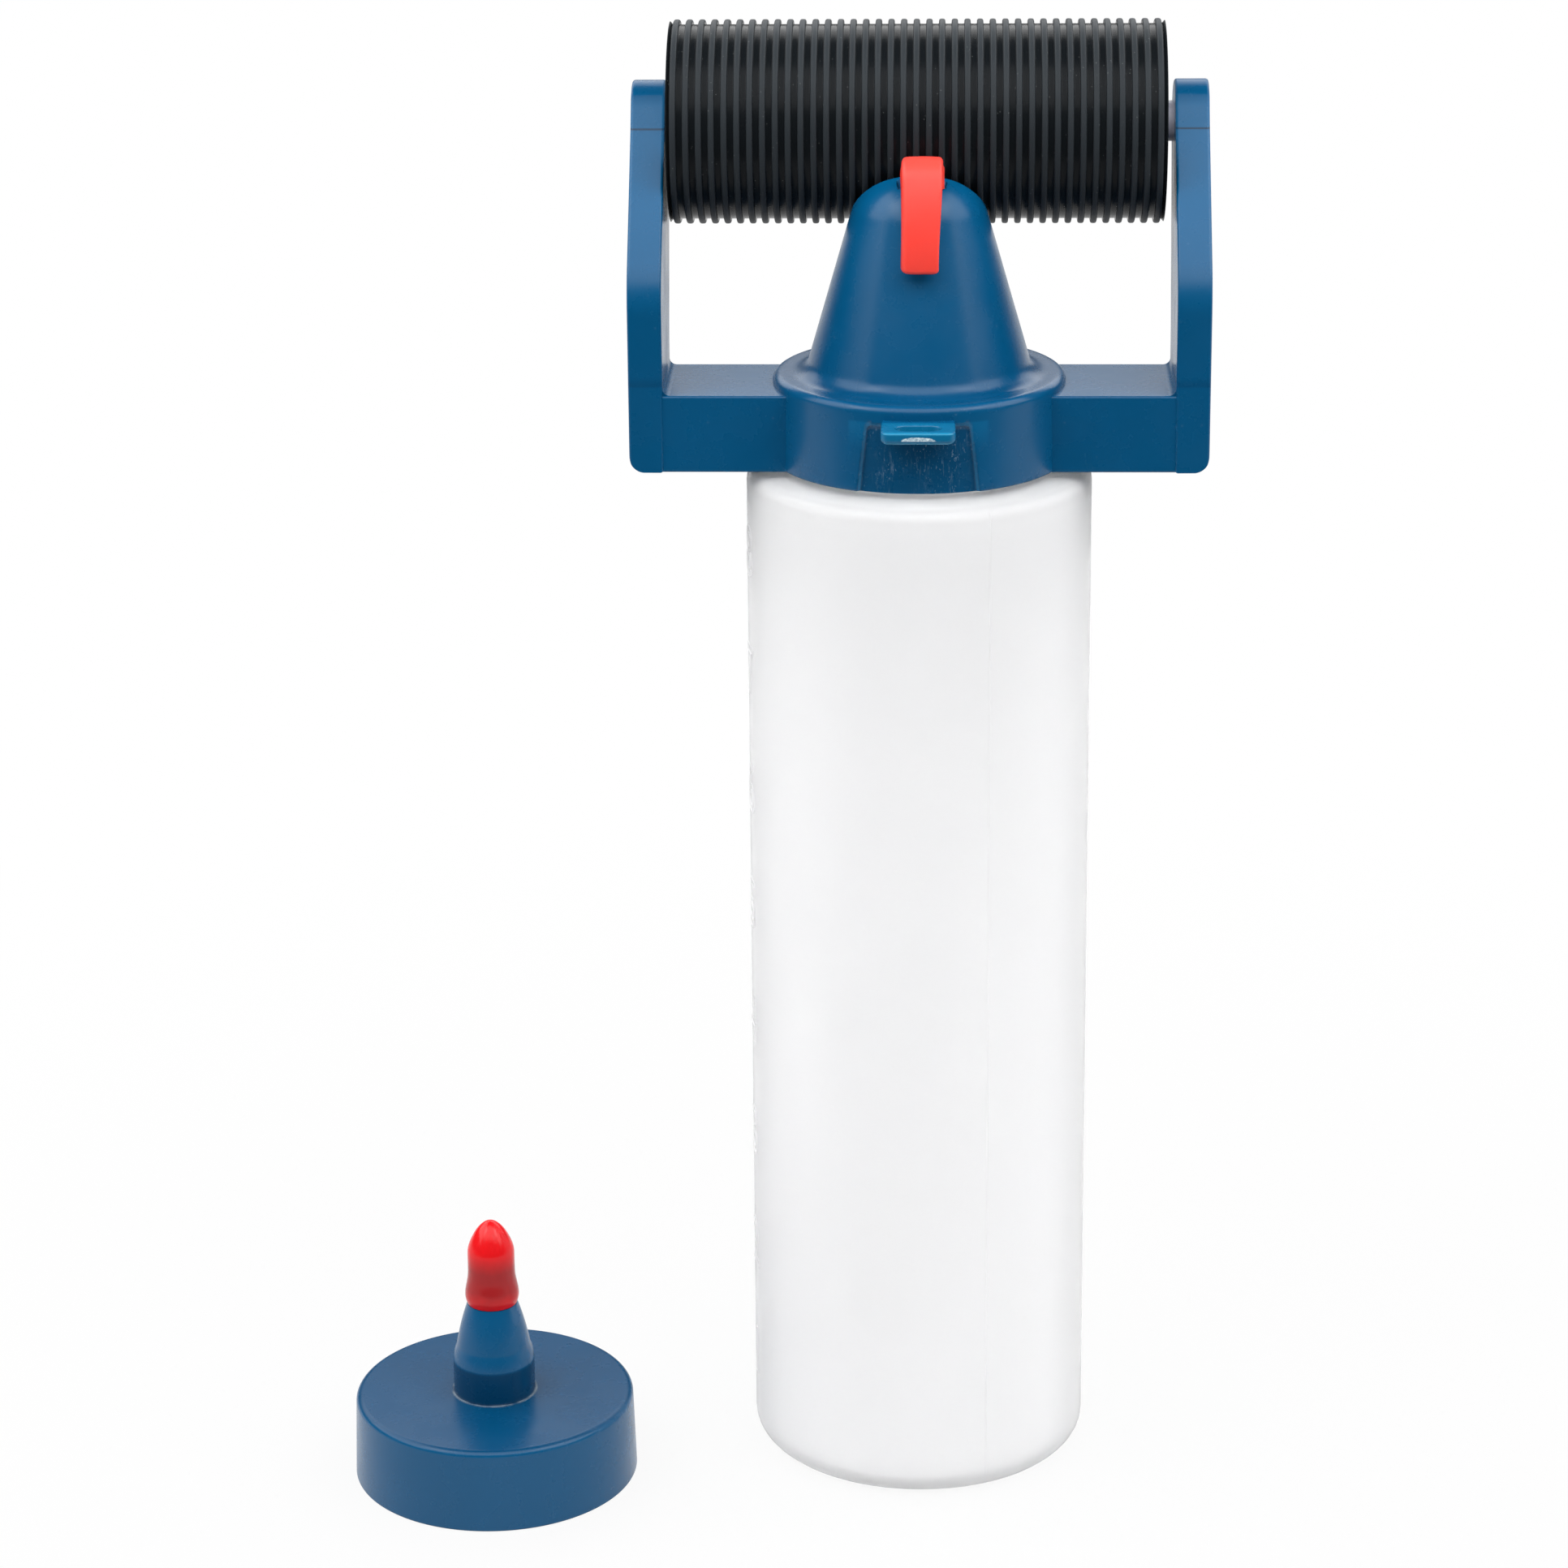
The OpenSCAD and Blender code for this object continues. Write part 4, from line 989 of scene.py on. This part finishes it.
def sleeveSection():
    # Ribs with round crests and small fillets at their feet, then the end faces and the bore
    r = roller
    first = (r["length"] - (r["ribs"] - 1) * r["pitch"]) / 2
    # Crest: |u / half|^e + |v / half|^e = 1 with e above 2, so it's flatter than a half circle
    half, power = r["rib"] / 2, 2 / r["crestPower"]
    turn = np.radians(np.linspace(180, 0, 15))
    rise = half * np.sin(turn).clip(0) ** power
    run = half * np.sign(np.cos(turn)) * np.abs(np.cos(turn)) ** power
    up, near, far = r["fillet"]
    one = np.concatenate([
        [[r["groove"], -half - far], [r["groove"] + up, -half - near]],
        np.column_stack([r["radius"] - half + rise, run]),
        [[r["groove"] + up, half + near], [r["groove"], half + far]],
    ])
    ribs = np.concatenate([one + [0, rollerLow + first + i * r["pitch"]] for i in range(r["ribs"])])
    inside = (ribs[:, 1] > rollerLow + near) & (ribs[:, 1] < rollerHigh - near)
    end = r["radius"] - r["endEdge"]
    return np.concatenate([
        [[end, rollerLow]], ribs[inside], [[end, rollerHigh], [r["bore"], rollerHigh], [r["bore"], rollerLow]]])


def rollerPiece(name, section, count, **settings):
    # A section (radius, x) turned about the roller's own axis
    return gridObject(name, turnedAlongX(section, evenAngles(count), roller["centre"]), **settings)


def coreSection():
    # A tube with a wider seat for a bush's lip in each end
    outer, inner = roller["core"]
    lip, seat = roller["lip"][0] + roller["lipGap"], roller["lip"][1] + roller["lipGap"]
    return roundedLine([
        (outer, rollerLow, 0.1), (outer, rollerHigh, 0.1), (lip, rollerHigh, 0.1), (lip, rollerHigh - seat, 0),
        (inner, rollerHigh - seat, 0), (inner, rollerLow + seat, 0), (lip, rollerLow + seat, 0),
        (lip, rollerLow, 0.1)], closed=True, steps=2)


def bushSection(face, way):
    # A bush with a lip at its outer face
    outer, inner, long = roller["bush"]
    lip, thick = roller["lip"]
    return roundedLine([
        (inner, face, 0.15), (lip, face, 0.1), (lip, face + way * thick, 0), (outer, face + way * thick, 0),
        (outer, face + way * long, 0.15), (inner, face + way * long, 0.15)], closed=True, steps=2)


sleeve = rollerPiece("ribbedSleeve", sleeveSection(), 160, closeV=True, sharpAt=50)
dress(sleeve, "roller", "black_rubber", blackRubber, "roller_sleeve")
dress(rollerPiece("coreTube", coreSection(), 96, closeV=True), "roller", "core_plastic", coreBlack, "roller_core")
for label, face, way in (("Left", rollerLow, 1), ("Right", rollerHigh, -1)):
    bush = rollerPiece("coreBush" + label, bushSection(face, way), 80, closeV=True)
    dress(bush, "roller", "bush_plastic", bushCream, "core_bush_" + label.lower())
pin, reach = roller["axle"]
pinLine = roundedLine([(0, -reach, 0), (pin, -reach, 0.35), (pin, reach, 0.35), (0, reach, 0)], steps=4)
dress(rollerPiece("rollerAxle", pinLine, 64), "axle", "axle_plastic", axleGrey, "axle")
print("roller ready")


# The plug and its strap

strap = {
    "wide": 5.55, "thick": 2.0, "foot": 5.9, "footX": 0.4, "y": -5.0, "seat": 187.65, "rise": 188.55,
    "bend": 3.0, "long": 12.55, "lean": (26.0, -4.2), "corner": 0.6, "skew": 0.22, "crown": 0.12, "taper": 0.6,
    "drift": [(0, 0.5), (6, 0.5), (10, 0.62), (14, 0.54), (17.5, 0.44), (20, 0.38)],    # way along, x
    "footEnd": (3.2, 0.5), "taperFrom": (6, 13), "skewFrom": (4, 4),                    # way along, length of change
    "plug": 1.45, "plugLow": 184.15, "plugHigh": 188.5,
}


def strapLine():
    # Up from the outlet, over the bend, then down the front while its lean fades out: steps of (-sin a, -cos a)
    s = strap
    centre = (s["y"] - s["bend"], s["rise"])
    up = np.column_stack([np.full(7, s["y"]), np.linspace(s["seat"], s["rise"], 7)])
    over = arcLine(centre, s["bend"], 0, 180 - s["lean"][0], 26)
    count = 60
    lean = np.radians(np.linspace(*s["lean"], count))
    down = over[-1] - np.cumsum(np.column_stack([np.sin(lean), np.cos(lean)]), axis=0) * s["long"] / count
    return np.concatenate([up, over[1:], down])


def pullStrap():
    # A rounded rectangle with a crowned front carried along the line; its free end is rounded
    s = strap
    line = strapLine()
    along = np.concatenate([[0], np.cumsum(np.linalg.norm(np.diff(line, axis=0), axis=1))])
    tail = along[-1] - s["corner"] * (1 - np.sin(np.linspace(0, math.pi / 2, 8)))
    stops = np.unique(np.concatenate([along[along < tail[0] - 0.05], tail]))
    line = np.column_stack([np.interp(stops, along, line[:, k]) for k in (0, 1)])
    ahead = np.gradient(line, axis=0)
    ahead /= np.linalg.norm(ahead, axis=1)[:, None]
    across = np.column_stack([ahead[:, 1], -ahead[:, 0]])
    past = np.clip(stops - (along[-1] - s["corner"]), 0, s["corner"])
    inset = s["corner"] - np.sqrt(np.maximum(s["corner"] ** 2 - past ** 2, 0))
    free = smoothStep((stops - s["footEnd"][0]) / s["footEnd"][1] + 1)       # 0 at its foot, 1 on the free band
    narrow = s["taper"] * smoothStep((stops - s["taperFrom"][0]) / s["taperFrom"][1])
    wide = s["foot"] + (s["wide"] - s["foot"]) * free - narrow
    shift = np.interp(stops, *np.array(s["drift"]).T)
    skew = s["skew"] * smoothStep((stops - s["skewFrom"][0]) / s["skewFrom"][1])
    layers, inner = [], np.linspace(0, 1, 9)[1:-1, None]
    for place, normal, w, x, i, k in zip(line, across, wide, shift, inset, skew):
        half, thick = w / 2 - i, s["thick"] / 2 - i * 0.9
        c = min(s["corner"], thick) * 0.98
        ring = roundedLine([
            (half, thick, c), (-half, thick, c), (-half, -thick, c), (half, -thick, c)], closed=True, steps=6)
        ring = np.concatenate([np.vstack([a, a[-1] + (b[0] - a[-1]) * inner]) for a, b in zip(
            np.split(ring, 4), np.split(np.roll(ring, -len(ring) // 4, axis=0), 4))])
        ring[:, 1] -= s["crown"] * (ring[:, 0] / half) ** 2 * (ring[:, 1] > 0)
        u, v = ring[:, 0] - k * (thick - ring[:, 1]), ring[:, 1]
        layers.append(np.column_stack([x + u, place[0] + v * normal[0], place[1] + v * normal[1]]))
    return pushed("strapBand", layers)


low, high = strap["plugLow"], strap["plugHigh"]
plugLine = roundedLine([(0, low, 0), (strap["plug"], low, 0.3), (strap["plug"], high, 0), (0, high, 0)], steps=4)
plugPin = gridObject("plugPin", turned(plugLine, evenAngles(48), (strap["footX"], strap["y"])))
dress(joined("spoutStrap", [pullStrap(), plugPin]), "plug", "red_rubber", strapRed, "spout_plug", weighted=True)
print("strap ready")


# The spare cap, its nozzle and its tip

spare = {
    "at": (-61.4, -15.0), "foot": 20.45, "rim": 20.05, "high": 12.3, "round": 1.0, "bore": 19.0, "roof": 10.7,
    "nozzle": 5.875, "nozzleStep": (0.3, 0.1), "coneAt": 17.65, "coneFoot": 5.58, "coneTop": 3.625, "coneEnd": 26.15,
    "spigot": 2.6, "spigotEnd": 33.15, "hole": 1.1, "inside": 1.5, "threadZ": 2.3, "sealUnder": 1.1,
    "tipRadius": 3.88, "tipAt": 26.25, "tipHigh": 12.65, "tipBore": (2.65, 7.3),
    "coneShares": [(0, 0), (0.2, 0.11), (0.4, 0.28), (0.6, 0.48), (0.8, 0.72), (1, 1)],  # of height, of narrowing
    "tipShares": [      # of height, of radius
        (0, 0.93), (0.03, 0.965), (0.09, 1), (0.16, 0.985), (0.225, 0.945), (0.3, 0.9), (0.375, 0.878), (0.5, 0.872),
        (0.628, 0.868), (0.69, 0.83), (0.751, 0.76), (0.815, 0.66), (0.877, 0.54), (0.93, 0.4), (0.97, 0.25),
        (0.99, 0.13), (1, 0)],
}


def smoothShares(shares, count):
    # A smooth line through the given points, taken at even steps
    p = np.array([shares[0], *shares, shares[-1]], float)
    t = np.linspace(0, len(shares) - 1 - 1e-9, count)
    i, f = t.astype(int), (t % 1)[:, None]
    a, b, c, d = p[i], p[i + 1], p[i + 2], p[np.minimum(i + 3, len(p) - 1)]
    return 0.5 * (2 * b + (c - a) * f + (2 * a - 5 * b + 4 * c - d) * f ** 2 + (3 * b - a - 3 * c + d) * f ** 3)


def spareCap():
    # One closed section, turned: up its outside, the cone and the spigot, then down its inside
    s = spare
    shares = smoothShares(s["coneShares"], 24)
    cone = np.column_stack([
        s["coneFoot"] + (s["coneTop"] - s["coneFoot"]) * shares[:, 1],
        s["coneAt"] + (s["coneEnd"] - s["coneAt"]) * shares[:, 0]])
    stepR, stepZ = s["nozzle"] + s["nozzleStep"][0], s["high"] + s["nozzleStep"][1]
    low = roundedLine([
        (s["bore"], 0, 0), (s["foot"], 0, 0.3), (s["rim"], s["high"], s["round"]), (stepR, s["high"], 0),
        (stepR, stepZ, 0.04), (s["nozzle"], stepZ, 0), (s["nozzle"], s["coneAt"] - 0.2, 1.4),
        (s["coneFoot"] + 0.03, s["coneAt"] + 1.2, 0)], steps=8)
    high = roundedLine([
        (s["coneTop"], s["coneEnd"], 0), (s["spigot"], s["coneEnd"], 0), (s["spigot"], s["spigotEnd"], 0.3),
        (s["hole"], s["spigotEnd"], 0.2), (s["hole"], s["coneEnd"], 0), (s["coneFoot"] - s["inside"], s["coneAt"], 0),
        (s["nozzle"] - s["inside"], s["roof"], 0), (s["bore"], s["roof"], 0.4), (s["bore"], 0.3, 0)], steps=4)
    line = np.concatenate([low, cone[cone[:, 1] > low[-1, 1] + 0.3][:-1], high])
    return gridObject("spareCap", turned(line, evenAngles(192), s["at"]), closeV=True)


def capThread():
    ridge = threadRidge("capThread", spare["bore"], 0.0, spare["threadZ"], -1)
    ridge.data.transform(Matrix.Translation((spare["at"][0] * mm, spare["at"][1] * mm, 0)))
    return ridge


def tipCover():
    # A turned pouch: its bore first, then its outside from the rim up to the point
    s = spare
    shares = smoothShares(s["tipShares"], 70)
    outer = np.column_stack([s["tipRadius"] * np.maximum(shares[:, 1], 0), s["tipAt"] + s["tipHigh"] * shares[:, 0]])
    outer[-1, 0] = 0
    radius, deep = s["tipBore"]
    bore = np.array([[0, s["tipAt"] + deep], [radius, s["tipAt"] + deep], [radius, s["tipAt"]]])
    return gridObject("tipCover", turned(np.concatenate([bore, outer]), evenAngles(96), s["at"]), sharpAt=60)


asCap = ("nozzle_cap", "blue_plastic", capBlue)
dress(spareCap(), *asCap, "nozzle_cap", weighted=True)
dress(capThread(), *asCap)
capSeal = sealRing("capSeal", spare["roof"] - spare["sealUnder"], spare["at"])
dress(capSeal, "nozzle_cap", "liner_foam", linerFoam, "nozzle_liner")
dress(tipCover(), "nozzle_tip", "red_rubber", tipRed, "nozzle_tip")
print("spare cap ready")
